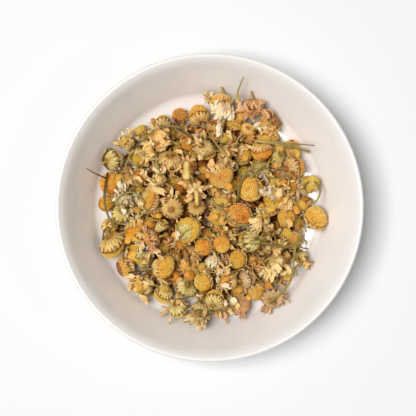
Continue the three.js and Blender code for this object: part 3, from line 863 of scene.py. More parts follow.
def make_bead(sides: int, rounded: bool = False) -> Pattern:
    """One floret: a small grain.

    Args:
        sides: How many sides it has.
        rounded: Whether it has a second ring under its tip.

    Returns:
        The grain, one unit across from its middle.
    """
    piece = Bench.add(bpy.ops.mesh.primitive_cone_add, "floret", vertices=sides, radius1=1, depth=1)
    with Bench.editing(piece):
        if rounded:
            bpy.ops.mesh.bisect(plane_co=(0, 0, 0.05), plane_no=(0, 0, 1))
            bpy.ops.transform.resize(value=(1.75, 1.75, 1), center_override=(0, 0, 0.05))
        bpy.ops.mesh.select_all(action="SELECT")
        bpy.ops.mesh.normals_make_consistent(inside=False)
    bead = Pattern.taken_from(piece, Part.FLORET)
    # How far each point stands out, by which the florets' feet get painted shade.
    bead.form[:, 2] = np.clip(bead.points[:, 2] + 0.5, 0, 1)
    return bead


def way_of(polar: float, around: float) -> Array:
    """The direction at an angle from +Z and at a turn about it, or one for each of several."""
    return np.stack([np.sin(polar) * np.cos(around), np.sin(polar) * np.sin(around), np.cos(polar)], axis=-1)


def one_of(options: Sequence, rng: Rng) -> object:
    """One of several things, drawn."""
    return options[int(rng.integers(len(options)))]


@dataclass(frozen=True)
class Spot:
    """A round spot on a dome: how wide it is, and how far and which way its middle lies, in degrees."""

    wide: float
    polar: float
    around: float

    def depth(self, ways: Array) -> Array:
        """How far within the spot some directions lie: 1 at its middle, 0 at its edge and outside."""
        middle = way_of(math.radians(self.polar), math.radians(self.around))
        return np.clip(1 - np.degrees(np.arccos(np.clip(ways @ middle, -1, 1))) / self.wide, 0, 1)


@dataclass(frozen=True)
class Disc:
    """A flower head's dome of florets over a solid core, for a head of radius 1.

    Florets stand between the first and the last angle from the dome's axis, in degrees, but for the
    bald spot. Their relief is a share of the usual, and the sides are those of the core.
    """

    florets: int
    width: float = 0.9
    height: float = 0.92
    middle: float = -0.05
    first: float = 0
    last: float = 108
    browned: Spot | None = None
    bald: Spot | None = None
    relief: float = 1.0
    sides: int = 16
    missing: float = 0.012  # the share of florets that have dropped out

    def pattern(self, bead: Pattern, rng: Rng) -> Pattern:
        """Puts the dome together.

        Args:
            bead: The floret to copy.
            rng: Draws the florets' small differences.

        Returns:
            The dome.
        """
        core = make_ball(Part.CORE, self.sides, self.sides * 5 // 8)
        core.form[:, 2] = 0.6
        if self.bald:
            depth = self.bald.depth(core.points)
            core.points *= (1 - 0.16 * np.minimum(1, 2 * depth))[:, None]
            core.parts = np.where(depth > 0, Part.PITH, Part.CORE)
            core.vary = np.where(depth > 0, rng.uniform(-0.9, 0.0, len(depth)), core.vary)
        half = np.array([self.width, self.width, self.height])
        body = np.diag([*(half * 0.965), 1.0])
        body[2, 3] = self.middle
        made = [core.placed(body)]
        spread = 1 - math.cos(math.radians(self.last))
        spacing = math.sqrt(TURN * spread / self.florets / 0.87)
        order = np.arange(self.florets)
        blotches = Vector(rng.uniform(0, 40, 3))
        polar = np.arccos(1 - (order + 0.5) / self.florets * spread) + rng.normal(0, 0.012, self.florets)
        around = order * GOLDEN_ANGLE + rng.normal(0, 0.02, self.florets)
        ways = way_of(polar, around)
        brown = self.browned.depth(ways) if self.browned else np.zeros(self.florets)
        bald = self.bald.depth(ways) if self.bald else np.full(self.florets, -1.0)
        for k in order:
            ragged = 14 * noise.noise(Vector(ways[k]) * 4.0 - blotches) if self.first else 0.0
            if polar[k] < math.radians(self.first + ragged):
                continue
            if bald[k] > rng.random() * 0.4 or rng.random() < self.missing:
                continue
            axis = ways[k] / half + rng.normal(0, 0.1, 3)
            size = spacing * self.width * rng.uniform(0.5, 0.6)
            vary = rng.normal(0, 0.1) - (rng.random() < 0.05) * rng.uniform(0.3, 0.8)
            vary += 0.5 * noise.noise(Vector(ways[k]) * 3.2 + blotches)
            if brown[k] > 0:
                vary -= min(1, 2.5 * brown[k]) * rng.choice([0.15, 0.5, 1.0])
            place = ways[k] * half + [0, 0, self.middle]
            tall = size * rng.uniform(0.55, 0.95) * self.relief
            matrix = turned(axis, rng.random() * TURN, (size, size, tall), place)
            floret = bead.placed(matrix, float(np.clip(vary, -1, 1)))
            share = np.clip((math.degrees(polar[k]) - 25) / 50 + rng.normal(0, 0.12), 0, 1)
            floret.parts = np.full(len(floret.parts), Part.CROWN if share < 0.5 else Part.FLORET)
            made.append(floret)
        return Pattern.joined(made)


@dataclass(frozen=True)
class Leaf:
    """A thin leaf: a petal or a bract. Its root is at the origin and it points along +X.

    The fold is a slope along its middle, the curl from root to tip and the twist are in degrees, the
    crumple and the notch are the depths of its creases and of the teeth at its tip.
    """

    length: float = 1.2
    width: float = 0.42
    thickness: float = 0.03
    fold: float = 0.3
    curl: float = 40
    twist: float = 20
    crumple: float = 0.08
    taper: float = 0.3
    notch: float = 0.1

    def pattern(self, flat: Pattern, rng: Rng) -> Pattern:
        """Bends the flat blade into this leaf.

        Args:
            flat: The flat blade, from -1 to 1 along X and Y.
            rng: Draws the creases.

        Returns:
            The leaf.
        """
        along = (flat.points[:, 0] + 1) / 2
        across = flat.points[:, 1]
        side = np.sign(flat.points[:, 2])
        grown = 0.35 + 0.65 * np.clip(along / 0.5, 0, 1) ** 0.8
        half = self.width / 2 * grown * (1 - self.taper * np.clip((along - 0.6) / 0.4, 0, 1) ** 2)
        half = half * (1 + 0.18 * np.sin(along * 11 + 2 * across + rng.random() * 6))
        x = self.length * along - self.notch * (along > 0.95) * np.abs(np.sin(1.5 * math.pi * across))
        y = across * half
        z = self.fold * np.abs(across) * half + side * self.thickness / 2
        z = z + 0.13 * self.width * np.sin(across * 4.6 + rng.random() * 6) * grown
        shift = Vector(rng.uniform(0, 50, 3))
        broad, fine = (
            np.array([noise.noise_vector(Vector((a * m, b * n, up)) + shift) for a, b in zip(along, across)])
            for m, n, up in ((3.1, 1.4, 0), (8.5, 2.6, 3))
        )
        creased = (broad + 0.5 * fine) * self.crumple
        z = z + creased[:, 2] * (0.3 + along)
        y = y + creased[:, 1] * along * 0.6
        twist = math.radians(self.twist) * along
        y, z = y * np.cos(twist) - z * np.sin(twist), y * np.sin(twist) + z * np.cos(twist)
        bend = math.radians(self.curl) / self.length
        if abs(bend) > 1e-6:
            x, z = np.sin(bend * x) * (1 / bend - z), 1 / bend - np.cos(bend * x) * (1 / bend - z)
        form = np.column_stack([across, along, np.full(len(along), 0.9)])
        return replace(flat, points=np.column_stack([x, y, z]), form=form)


def make_blade(part: Part, across: int, along: int) -> Pattern:
    """A flat blade with two sides, from which leaves are bent.

    Args:
        part: The part of the flower that it is for.
        across: Its cells from side to side.
        along: Its cells from root to tip.

    Returns:
        The blade, from -1 to 1 along X and Y.
    """
    grid = bpy.ops.mesh.primitive_grid_add
    piece = Bench.add(grid, "blade", x_subdivisions=along, y_subdivisions=across, size=2)
    Bench.modify(piece, "SOLIDIFY", thickness=0.1, offset=0)
    return Pattern.taken_from(piece, part)


@dataclass(frozen=True)
class Cup:
    """The green cup under a disc, with its rows of bracts, for a head of radius 1.

    Its outline runs from the stalk up to the rim. Each row has so many bracts, and starts and ends at
    two shares of the outline. The bracts have a width, and their tips stand off by the lift.
    """

    outline: Line
    bracts: int = 13
    rows: Line = ((0.12, 0.8), (0.34, 1.0))
    wide: float = 0.3
    lift: float = 0.07

    def pattern(self, blade: Pattern, rng: Rng) -> Pattern:
        """Puts the cup together.

        Args:
            blade: The flat blade to bend into bracts.
            rng: Draws the bracts' small differences.

        Returns:
            The cup with its bracts.
        """
        radii, heights = np.array(self.outline).T
        steps = np.hypot(np.diff(radii), np.diff(heights))
        shares = np.concatenate([[0], np.cumsum(steps)]) / steps.sum()
        top = heights[-1] - 0.02
        closed = [(0, heights[0] - 0.02), *self.outline, (radii[-1] * 0.8, top), (0, top)]
        body = Pattern.taken_from(Bench.spin("cup", closed, 2 * self.bracts), Part.CUP)
        # Its body stands out little, so it gets much of the painted shade.
        body.form[:, 2] = 0.35
        made = [body]
        along = (blade.points[:, 0] + 1) / 2
        across = blade.points[:, 1]
        for row, (start, end) in enumerate(self.rows):
            for k in range(self.bracts):
                around = TURN * (k + row / 2 + rng.normal(0, 0.08)) / self.bracts
                reach = end + rng.normal(0, 0.03)
                share = start + (reach - start) * along
                radius = np.interp(share, shares, radii)
                height = np.interp(share, shares, heights)
                slope = np.arctan2(*(
                    np.interp(share + 0.02, shares, values) - np.interp(share - 0.02, shares, values)
                    for values in (radii, heights)
                ))
                half = self.wide / 2 * (0.55 + 0.45 * np.sin(math.pi * np.clip(along * 0.9 + 0.1, 0, 1)))
                half = half * np.clip(1.25 * (1 - along**4), 0.12, 1)
                off = 0.02 + 0.018 * np.sign(blade.points[:, 2]) + 0.05 * (1 - across**2) * half / self.wide
                off = off + self.lift * rng.uniform(0.3, 1.5) * along**3
                out = radius + off * np.cos(slope)
                angle = around + across * half / np.maximum(out, 0.15)
                level = height - off * np.sin(slope)
                points = np.column_stack([out * np.cos(angle), out * np.sin(angle), level])
                form = np.column_stack([across, along, 0.55 + 0.35 * along])
                vary = np.full(len(along), np.clip(rng.normal(0, 0.22), -0.6, 0.6))
                made.append(replace(blade, points=points, form=form, vary=vary))
        return Pattern.joined(made)


def make_stub(length: float, bend: float) -> Pattern:
    """The cut end of a head's stalk, from its cup down.

    Args:
        length: Its length.
        bend: How far it leans at its end.

    Returns:
        The stub.
    """
    cut = [(0.105, -0.35 * length), (0.1, -0.7 * length), (0.115, -length), (0, -length)]
    outline = [(0, 0.1), (0.17, 0.1), (0.13, 0.0), *cut]
    stub = Pattern.taken_from(Bench.spin("stub", outline, 7), Part.STUB)
    depth = np.clip(-stub.points[:, 2], 0, None)
    stub.points[:, 0] += bend * depth * depth
    stub.form[:, 1] = depth
    stub.form[:, 0] = np.arctan2(stub.points[:, 1], stub.points[:, 0]) / math.pi
    stub.form[:, 2] = 0.8
    return stub


def make_thread(rng: Rng) -> Pattern:
    """A thread of dried leaf, one unit long, bent to one side.

    Args:
        rng: Draws what differs.

    Returns:
        The thread.
    """
    outline = [(0, -0.5)] + [(0.05 * (1 - abs(h) ** 3), h) for h in np.linspace(-0.48, 0.48, 7)] + [(0, 0.5)]
    thread = Pattern.taken_from(Bench.spin("thread", outline, 4), Part.STUB)
    height = thread.points[:, 2].copy()
    bend, lean = rng.uniform(-1.2, 1.2, 2)
    thread.points[:, 0] += bend * (height * height - 0.1)
    thread.points[:, 1] += lean * height**3
    thread.points = thread.points[:, [2, 0, 1]]
    thread.form[:, 1] = height + 0.5
    thread.form[:, 2] = 0.8
    return thread


# ---- flower heads ----


@dataclass(frozen=True)
class PetalRing:
    """How the petals of a form stand.

    They grow from a collar, given as its radius and height, at fold angles from the disc's axis in
    degrees. Each counted petal stands for so many, and there are some extra. The length is between two
    bounds, and the spread is that of a group of petals around the ring, in radians.
    """

    collar: Pair
    folds: tuple[float, ...]
    per_mark: float
    extra: int
    length: Pair
    spread: float


PETAL_RINGS: dict[Form, PetalRing] = {
    DOME: PetalRing((0.84, -0.24), (122, 100, 140, 110, 88), 2.2, 2, (0.5, 1.05), 0.4),
    TUFT: PetalRing((0.48, 0.05), (66, 98, 44, 112, 80, 28), 3.4, 6, (0.8, 1.35), 0.55),
    HOLLOW: PetalRing((0.86, -0.1), (120, 105, 132), 1.5, 2, (0.5, 0.9), 0.5),
    CONE: PetalRing((0.5, 0.45), (50, 66, 34, 80), 2.0, 8, (0.5, 0.9), 0.9),
    BUD: PetalRing((0.34, 0.3), (24, 12, 34, 18), 1.6, 4, (0.5, 0.75), 0.9),
    PLAIN: PetalRing((0.8, -0.1), (110,), 0, 0, (0.6, 0.8), 0.9),
}

ROUND_CUP = ((0.14, -0.94), (0.34, -0.88), (0.6, -0.7), (0.8, -0.46), (0.93, -0.16))
RIM_CUP = ((0.13, -0.92), (0.32, -0.86), (0.52, -0.74), (0.68, -0.58), (0.76, -0.42))
SMALL_CUP = ((0.13, -0.9), (0.32, -0.84), (0.52, -0.66), (0.68, -0.4), (0.76, -0.12))
LONG_CUP = ((0.2, -0.96), (0.34, -0.7), (0.44, -0.3), (0.54, 0.1), (0.64, 0.5))
EGG_CUP = ((0.15, -0.95), (0.4, -0.7), (0.6, -0.34), (0.68, 0.06), (0.56, 0.42), (0.34, 0.62))
LOW_CUP = ((0.14, -0.95), (0.5, -0.8), (0.86, -0.4), (0.96, -0.1))

DISCS: dict[Form, tuple[Disc, ...]] = {
    DOME: (
        Disc(560),
        Disc(540, height=0.84, browned=Spot(30, 50, 0)),
        Disc(560, width=0.92, browned=Spot(24, 60, 100)),
        Disc(540, height=0.96, browned=Spot(38, 30, 200)),
        Disc(520, height=0.9, bald=Spot(22, 52, 0), browned=Spot(34, 62, 0)),
        Disc(380, height=0.88, relief=1.2),
        Disc(360, height=0.94, relief=1.3, browned=Spot(26, 44, 0)),
    ),
    TUFT: (Disc(200, 0.68, 0.6, 0.0), Disc(200, 0.66, 0.66, 0.0, bald=Spot(26, 20, 60))),
    HOLLOW: (Disc(460, 0.9, 0.74, 0.0, first=42),),
    CONE: (Disc(90, 0.42, 0.3, 0.48, first=30, last=80),),
    BUD: (Disc(90, 0.34, 0.3, 0.42, last=80),),
    PLAIN: (Disc(130, 0.9, 0.9),),
}
FAR_DISC = Disc(380, first=56, last=114)  # of a dome that faces away
CHUNKS = (
    Disc(50, 0.9, 0.5, last=62, sides=12),
    Disc(70, 0.8, 0.7, last=75, browned=Spot(30, 40, 0), sides=12),
)
BROKEN_DISCS = (
    Disc(150, 0.86, 0.7, sides=12),
    Disc(120, 0.8, 0.56, bald=Spot(32, 10, 0), sides=12),
    Disc(130, 0.9, 0.8, browned=Spot(50, 40, 0), sides=12),
)

CUPS: dict[Form, tuple[Cup, ...]] = {
    DOME: (
        Cup(ROUND_CUP, 15, ((0.1, 0.72), (0.3, 0.97)), 0.25, 0.02),
        Cup(ROUND_CUP, 17, ((0.1, 0.66), (0.3, 0.93)), 0.22, 0.015),
        Cup(ROUND_CUP, 12, ((0.1, 0.7), (0.34, 1.0)), 0.3, 0.07),
        Cup(RIM_CUP, 14, ((0.1, 0.7), (0.3, 1.0)), 0.22, 0.02),
        Cup(RIM_CUP, 12, ((0.1, 0.7), (0.3, 0.95)), 0.24, 0.04),
    ),
    TUFT: (Cup(SMALL_CUP, 12, wide=0.24, lift=0.05),),
    CONE: (Cup(LONG_CUP, 10, ((0.0, 0.6), (0.3, 0.95)), 0.24, 0.05),),
    BUD: (Cup(EGG_CUP, 9, ((0.05, 0.55), (0.25, 0.8), (0.45, 1.0)), 0.34, 0.06),),
    PLAIN: (Cup(LOW_CUP, 9, ((0.1, 0.9),), 0.4, 0.02),),
}
ROUND_CUPS = 3  # how many of the domes' cups are round ones


class FlowerKit:
    """The patterns that the heads are put together from, each modelled once."""

    def __init__(self, seed: int) -> None:
        """Models every pattern.

        Args:
            seed: Starts the draws for their small differences.
        """
        rng = np.random.default_rng(seed)
        noise.seed_set(seed)  # so that leaves crease in the same way each time
        bead, crumb = make_bead(4), make_bead(3)
        blade = make_blade(Part.BRACT, 2, 4)
        flat, fine, small = (make_blade(Part.PETAL, *cells) for cells in ((4, 6), (6, 10), (2, 4)))
        self.discs = {form: [disc.pattern(bead, rng) for disc in kinds] for form, kinds in DISCS.items()}
        self.far_disc = FAR_DISC.pattern(bead, rng)
        self.chunks = [disc.pattern(crumb, rng) for disc in CHUNKS]
        self.cups = {form: [cup.pattern(blade, rng) for cup in kinds] for form, kinds in CUPS.items()}
        self.round_cups = self.cups[HOLLOW] = self.cups[DOME][:ROUND_CUPS]
        self.petals = [self._petal(flat, rng) for _ in range(18)]
        self.fine_petals = [self._petal(fine, rng) for _ in range(10)]
        self.bract = Leaf(1, 0.3, fold=0.3, curl=30, crumple=0.04, taper=0.8, notch=0).pattern(blade, rng)
        self.scraps = [self._petal(small, rng) for _ in range(8)]
        self.clumps = [self._clump(rng) for _ in range(6)]
        self.bead = make_bead(5, rounded=True)
        broken = [disc.pattern(crumb, rng) for disc in BROKEN_DISCS]
        self.broken = [Pattern.joined([disc, self.cups[PLAIN][0], *self._fringe(rng)]) for disc in broken]
        self.stubs = [make_stub(0.3, 0.0), make_stub(0.6, 0.3), make_stub(0.95, -0.25)]
        self.threads = [make_thread(rng) for _ in range(6)]
        self.pith = self._make_pith(rng)

    @staticmethod
    def _petal(flat: Pattern, rng: Rng) -> Pattern:
        """One dried petal, broad and crumpled.

        Args:
            flat: The blade to bend.
            rng: Draws what differs.

        Returns:
            The petal.
        """
        leaf = Leaf(
            1, rng.uniform(0.2, 0.42), fold=rng.uniform(-1.3, 1.3), curl=rng.uniform(-90, 90),
            twist=rng.uniform(-50, 50), crumple=rng.uniform(0.09, 0.18), taper=rng.uniform(0.1, 0.6),
        )
        return leaf.pattern(flat, rng)

    def _clump(self, rng: Rng) -> Pattern:
        """A few petals that still hang together at their roots.

        Args:
            rng: Draws what differs.

        Returns:
            The clump.
        """
        made = []
        for _ in range(int(rng.integers(3, 7))):
            way = rolled(rng.normal(0, 0.7), rng.normal(0, 0.6), rng.normal(0, 1))
            matrix = np.array(way @ Matrix.Scale(rng.uniform(0.6, 1.1), 4))
            made.append(one_of(self.petals, rng).placed(matrix, float(rng.normal(0, 0.15))))
        return Pattern.joined(made)

    @staticmethod
    def _make_pith(rng: Rng) -> Pattern:
        """The spongy middle that shows where a head has lost its florets.

        Args:
            rng: Draws what differs.

        Returns:
            The pith.
        """
        pith = make_ball(Part.PITH, 32, 20)
        lumps = np.array([noise.noise(Vector(point) * 3.5) for point in pith.points])
        cracks = np.array([noise.noise(Vector(point) * 7.0 + Vector((9, 3, 5))) for point in pith.points])
        pith.points *= (1 + 0.12 * lumps - 0.3 * np.clip(cracks - 0.1, 0, 1))[:, None]
        pith.points *= [0.66, 0.66, 0.3]
        pith.points[:, 2] += 0.47
        # Paler on the lumps and much darker in the cracks, which sink in, with a little drawn noise.
        lump_and_crack_tone = 0.6 * lumps - 2.2 * np.clip(cracks - 0.05, 0, 1) + rng.normal(0, 0.08, len(lumps))
        pith.vary += np.clip(lump_and_crack_tone, -1, 1)
        pith.form[:, 2] = 0.8
        return pith

    def head(self, head: Head, rng: Rng) -> Copy:
        """Puts one flower head together at its place in the heap.

        Args:
            head: The head.
            rng: Draws what differs between heads of a kind.

        Returns:
            Its pattern in millimetres and its vertices' colours.
        """
        spin = np.array(Matrix.Rotation(rng.random() * TURN, 4, "Z"))
        disc, cup = one_of(self.discs[head.form], rng), one_of(self.cups[head.form], rng)
        if head.form is DOME and head.lean > 105:
            disc, cup = self.far_disc, one_of(self.round_cups, rng)
        made = [disc.placed(spin), cup.placed(spin)]
        if head.form is HOLLOW:
            made.append(self.pith)
        if head.form is not PLAIN:
            made.append(self._stub(rng))
        made += self._petals(head, rng)
        if head.form in (DOME, HOLLOW):
            made += self._fringe(rng)
        whole = Pattern.joined(made)
        way = rng.normal(0, 1, 3)
        whole.vary = np.clip(whole.vary + 0.22 * (whole.points @ (way / np.linalg.norm(way))) - 0.03, -1, 1)
        whole.points = self._squashed(whole.points, rng)
        whole = whole.placed(head.frame())
        palette = PALETTES[head.tint] * rng.normal(1, (0.045, 0.05, 0.07), 3) * rng.normal(1, 0.04)
        return whole.coloured(palette)

    @staticmethod
    def _squashed(points: Array, rng: Rng) -> Array:
        """A head's points, pressed out of round as drying has left them.

        Args:
            points: The points.
            rng: Draws what differs.

        Returns:
            The points as they are pressed.
        """
        points = points * rng.uniform([0.84, 0.84, 0.82], [1.02, 1.02, 1.0])
        for _ in range(3):
            way, shift = rng.normal(0, 1, 3), rng.normal(0, 1, 3)
            wave = np.sin(points @ (way / np.linalg.norm(way)) * rng.uniform(1.6, 3.2) + rng.random() * TURN)
            points = points + wave[:, None] * shift * 0.038
        return points

    def _stub(self, rng: Rng) -> Pattern:
        """A stub of stalk under the cup.

        Args:
            rng: Draws what differs.

        Returns:
            The stub.
        """
        matrix = np.array(Matrix.Rotation(rng.random() * TURN, 4, "Z"))
        matrix[2, 3] = -0.88
        return one_of(self.stubs, rng).placed(matrix)

    def _fringe(self, rng: Rng) -> list[Pattern]:
        """The short rags of petals that are left around a head's rim.

        Args:
            rng: Draws what differs.

        Returns:
            The rags.
        """
        rags = []
        for _ in range(int(rng.integers(3, 9))):
            around = rng.random() * TURN
            fold = math.radians(rng.uniform(95, 160))
            scrap, length = one_of(self.scraps, rng), rng.uniform(0.25, 0.5)
            rags.append(self._rooted(scrap, (0.86, -0.22), around, fold, length, rng))
        return rags

    def _rooted(
        self, leaf: Pattern, collar: Pair, around: float, fold: float, length: float, rng: Rng
    ) -> Pattern:
        """A leaf that grows from a head's rim.

        Args:
            leaf: The leaf.
            collar: The radius and height of its root.
            around: The way that it grows, about the head's axis.
            fold: Its angle from the axis.
            length: Its length.
            rng: Draws its side, width and colour.

        Returns:
            The leaf in its place.
        """
        way = way_of(fold, around)
        across = np.array([-math.sin(around), math.cos(around), 0]) * (1 if rng.random() < 0.5 else -1)
        width = max(length, 0.4) * rng.uniform(0.85, 1.25)
        matrix = np.eye(4)
        matrix[:3, 0] = way * length
        matrix[:3, 1] = across * width
        matrix[:3, 2] = np.cross(way, across) * width
        matrix[:3, 3] = [collar[0] * math.cos(around), collar[0] * math.sin(around), collar[1]]
        return leaf.placed(matrix, float(np.clip(rng.normal(0, 0.3), -0.7, 0.5)))

    def _petals(self, head: Head, rng: Rng) -> list[Pattern]:
        """The petals that a head has left.

        Args:
            head: The head.
            rng: Draws what differs.

        Returns:
            The petals.
        """
        ring = PETAL_RINGS[head.form]
        count = round(head.petals * ring.per_mark) + (ring.extra if head.petals or head.form is BUD else 0)
        petals = []
        groups = rng.random() * TURN + np.array([0, 2.1, 4.0]) + rng.normal(0, 0.4, 3)
        lean = rng.normal(0, 14, 3)
        for k in range(count):
            group = k % 3 if k % 5 else 0
            around = groups[group] + rng.normal(0, ring.spread)
            fold = math.radians(ring.folds[k % len(ring.folds)] + lean[group] + rng.normal(0, 12))
            leaf, length = one_of(self.petals, rng), rng.uniform(*ring.length)
            petals.append(self._rooted(leaf, ring.collar, around, fold, length, rng))
        return petals


# ---- finishes ----


class Shader:
    """Adds nodes to a tree and links them by name."""

    def __init__(self, tree: bpy.types.NodeTree) -> None:
        """Works on a node tree."""
        self.tree = tree

    def add(self, kind: str, inputs: Inputs | None = None, **settings: object) -> bpy.types.Node:
        """Adds a node.

        Args:
            kind: The node's type, without the words that all types start with.
            inputs: A value, or a socket to link, for each input.
            **settings: The node's own settings.

        Returns:
            The node.
        """
        node = self.tree.nodes.new(kind if kind.startswith("Node") else f"ShaderNode{kind}")
        for name, value in settings.items():
            setattr(node, name, value)
        for name, value in (inputs or {}).items():
            socket = node.inputs[name]
            if isinstance(value, Socket):
                self.tree.links.new(value, socket)
            else:
                socket.default_value = value
        return node

    def place(self) -> Socket:
        """The place on the object."""
        return self.add("TexCoord").outputs["Object"]

    def noise(self, place: Socket, scale: object, detail: float) -> Socket:
        """A smooth noise."""
        return self.add("TexNoise", {"Vector": place, "Scale": scale, "Detail": detail}).outputs[0]

    def ramp(self, factor: Socket, low: float, high: float) -> Socket:
        """A smooth step from 0 at low to 1 at high."""
        return self.add("MapRange", {0: factor, 1: low, 2: high}, interpolation_type="SMOOTHSTEP").outputs[0]

    def math(self, operation: str, first: object, second: object) -> Socket:
        """The result of a sum, product or the like."""
        return self.add("Math", {0: first, 1: second}, operation=operation).outputs[0]

    def mix(self, factor: object, first: object, second: object, blend: str = "MIX") -> Socket:
        """Two colours mixed."""
        inputs = {0: factor, 6: first, 7: second}
        return self.add("Mix", inputs, data_type="RGBA", blend_type=blend).outputs[2]

    def stained(self, colour: Socket, stain: Rgb) -> Socket:
        """A colour multiplied by another."""
        return self.mix(1.0, colour, (*stain, 1), "MULTIPLY")

    def bump(self, height: Socket, distance: float, strength: float, **more: Socket) -> Socket:
        """The normals of a relief."""
        inputs = {"Height": height, "Distance": distance, "Strength": strength, **more}
        return self.add("Bump", inputs).outputs[0]

    def finish(self, colour: Socket, normal: Socket, roughness: float, more: Inputs) -> None:
        """Adds the surface, with more of its inputs, and the output that it feeds."""
        inputs = {"Base Color": colour, "Normal": normal, "Roughness": roughness, **more}
        self.add("OutputMaterial", {0: self.add("BsdfPrincipled", inputs).outputs[0]})


def new_material(name: str) -> tuple[Material, Shader]:
    """An empty material, and what adds its nodes.

    Args:
        name: Its name.

    Returns:
        The two of them.
    """
    material = bpy.data.materials.new(name)
    material.use_nodes = True
    material.node_tree.nodes.clear()
    return material, Shader(material.node_tree)


class NodeGroup:
    """A group of nodes that is built once and placed in each material with its own values."""

    def __init__(self, name: str, inputs: dict[str, str], outputs: dict[str, str]) -> None:
        """Makes the group with its sockets.

        Args:
            name: The group's name.
            inputs, outputs: The kind of each socket, by its name.
        """
        self.tree = bpy.data.node_groups.new(name, "ShaderNodeTree")
        for way, sockets in (("INPUT", inputs), ("OUTPUT", outputs)):
            for socket, kind in sockets.items():
                self.tree.interface.new_socket(socket, in_out=way, socket_type=f"NodeSocket{kind}")
        self.shader = Shader(self.tree)
        self.given = self.shader.add("NodeGroupInput").outputs

    def use(self, shader: Shader, **inputs: object) -> bpy.types.bpy_prop_collection:
        """Places the group among a material's nodes and gives its outputs."""
        return shader.add("Group", inputs, node_tree=self.tree).outputs


def make_grain() -> NodeGroup:
    """The mottled and grainy look that all the dried parts share.

    Returns:
        The group. Its blotches and grain are counts to the metre.
    """
    values = {"Colour": "Color", "Aged": "Color", "Blotches": "Float", "Grain": "Float", "Amount": "Float"}
    group = NodeGroup("dry_grain", values, {"Colour": "Color", "Height": "Float"})
    shader, given = group.shader, group.given
    place = shader.place()
    blotch, grain = shader.noise(place, given["Blotches"], 3.0), shader.noise(place, given["Grain"], 2.0)
    aged = shader.math("MULTIPLY", shader.ramp(blotch, 0.48, 0.72), given["Amount"])
    mottled = shader.mix(aged, given["Colour"], given["Aged"])
    speck = shader.add("MapRange", {0: grain, 1: 0.35, 2: 0.65, 3: 0.88, 4: 1.12}).outputs[0]
    green, blue = (shader.math("POWER", speck, power) for power in (1.5, 2.5))
    warm = shader.add("CombineColor", {0: speck, 1: green, 2: blue}).outputs[0]
    speckled = shader.mix(1.0, mottled, warm, "MULTIPLY")
    shader.add("NodeGroupOutput", {"Colour": speckled, "Height": grain})
    return group


def make_veins() -> NodeGroup:
    """The lines that run from root to tip of a petal, bract or stalk.

    Returns:
        The group. Its lines are so many in half the leaf's width.
    """
    group = NodeGroup("veins", {"Across": "Float", "Lines": "Float"}, {"Mask": "Float"})
    shader, given = group.shader, group.given
    wander = shader.noise(shader.place(), 900.0, 1.0)
    phase = shader.math("ADD", shader.math("MULTIPLY", given["Across"], given["Lines"]), wander)
    wave = shader.math("SINE", shader.math("MULTIPLY", phase, TURN), 0.0)
    mask = shader.add("MapRange", {0: wave, 1: -1.0, 2: 1.0}).outputs[0]
    shader.add("NodeGroupOutput", {"Mask": mask})
    return group


@dataclass(frozen=True)
class DryFinish:
    """A dry plant surface, tinted by its mesh, with older blotches, a fine grain and painted shade in its
    hollows.

    Attributes:
        aged, amount: The colour of its blotches, and how much of them shows.
        blotches, grain: Their sizes, as counts to the metre.
        bump: How deep its grain is, in metres.
        hollow: How dark the shade painted into its hollows is.
        lines: How many lines run in half a leaf's width, or none; they are darker, the veins' own tone with
            painted shade in their creases.
        margin: How pale a leaf's edges are: the bracts' papery margins, and a painted highlight along the
            edges.
        see_through: How much light spreads within it.
    """

    name: str
    aged: Rgb
    amount: float = 0.5
    blotches: float = 260.0
    grain: float = 2200.0
    roughness: float = 0.75
    bump: float = 0.00012
    hollow: float = 0.5
    lines: float = 0.0
    margin: float = 0.0
    see_through: float = 0.1

    def material(self, grain: NodeGroup, veins: NodeGroup) -> Material:
        """Builds the material.

        Args:
            grain: The group of mottling and grain.
            veins: The group of lines.

        Returns:
            The material.
        """
        material, shader = new_material(self.name)
        tint = shader.add("Attribute", attribute_name="tint").outputs["Color"]
        form = shader.add("Attribute", attribute_name="form").outputs["Vector"]
        across, along, rise = shader.add("SeparateXYZ", {0: form}).outputs
        colour = tint
        if self.margin:
            # Darker towards the root: the root's own tone, and painted shade where it meets the head.
            root = shader.stained(tint, (0.62, 0.44, 0.24))
            colour = shader.mix(shader.ramp(along, -0.1, 0.55), root, tint)
            # Paler edges: the bracts' papery margins, and a painted highlight along every leaf's edge.
            edge = shader.ramp(shader.math("ABSOLUTE", across, 0.0), 0.45, 0.95)
            pale = shader.mix(0.6, tint, (1.0, 0.84, 0.52, 1))
            colour = shader.mix(shader.math("MULTIPLY", edge, self.margin), colour, pale)
        colour, height = grain.use(
            shader, Colour=colour, Aged=(*self.aged, 1), Blotches=self.blotches, Grain=self.grain,
            Amount=self.amount,
        )
        if self.lines:
            line = veins.use(shader, Across=across, Lines=self.lines)["Mask"]
            # Darker along the lines: the veins' own tone, and painted shade in the creases between them.
            darker = shader.stained(colour, (0.6, 0.42, 0.22))
            colour = shader.mix(shader.math("MULTIPLY", line, 0.6), colour, darker)
            height = shader.math("ADD", height, line)
        # Painted shade: darker where a vertex stands out less, at the florets' feet, on the core and in the
        # cup.
        deep = shader.stained(colour, (0.5, 0.3, 0.13))
        raised = shader.add("MapRange", {0: rise, 1: 0.0, 2: 0.75, 3: self.hollow, 4: 1.0}).outputs[0]
        colour = shader.mix(raised, deep, colour)
        spread = {"Weight": self.see_through, "Radius": (1.0, 0.6, 0.25), "Scale": 0.0006}
        scattering = {f"Subsurface {name}": value for name, value in spread.items()}
        bump = shader.bump(height, self.bump, 0.8)
        shader.finish(colour, bump, self.roughness, {"Specular IOR Level": 0.14, **scattering})
        return material


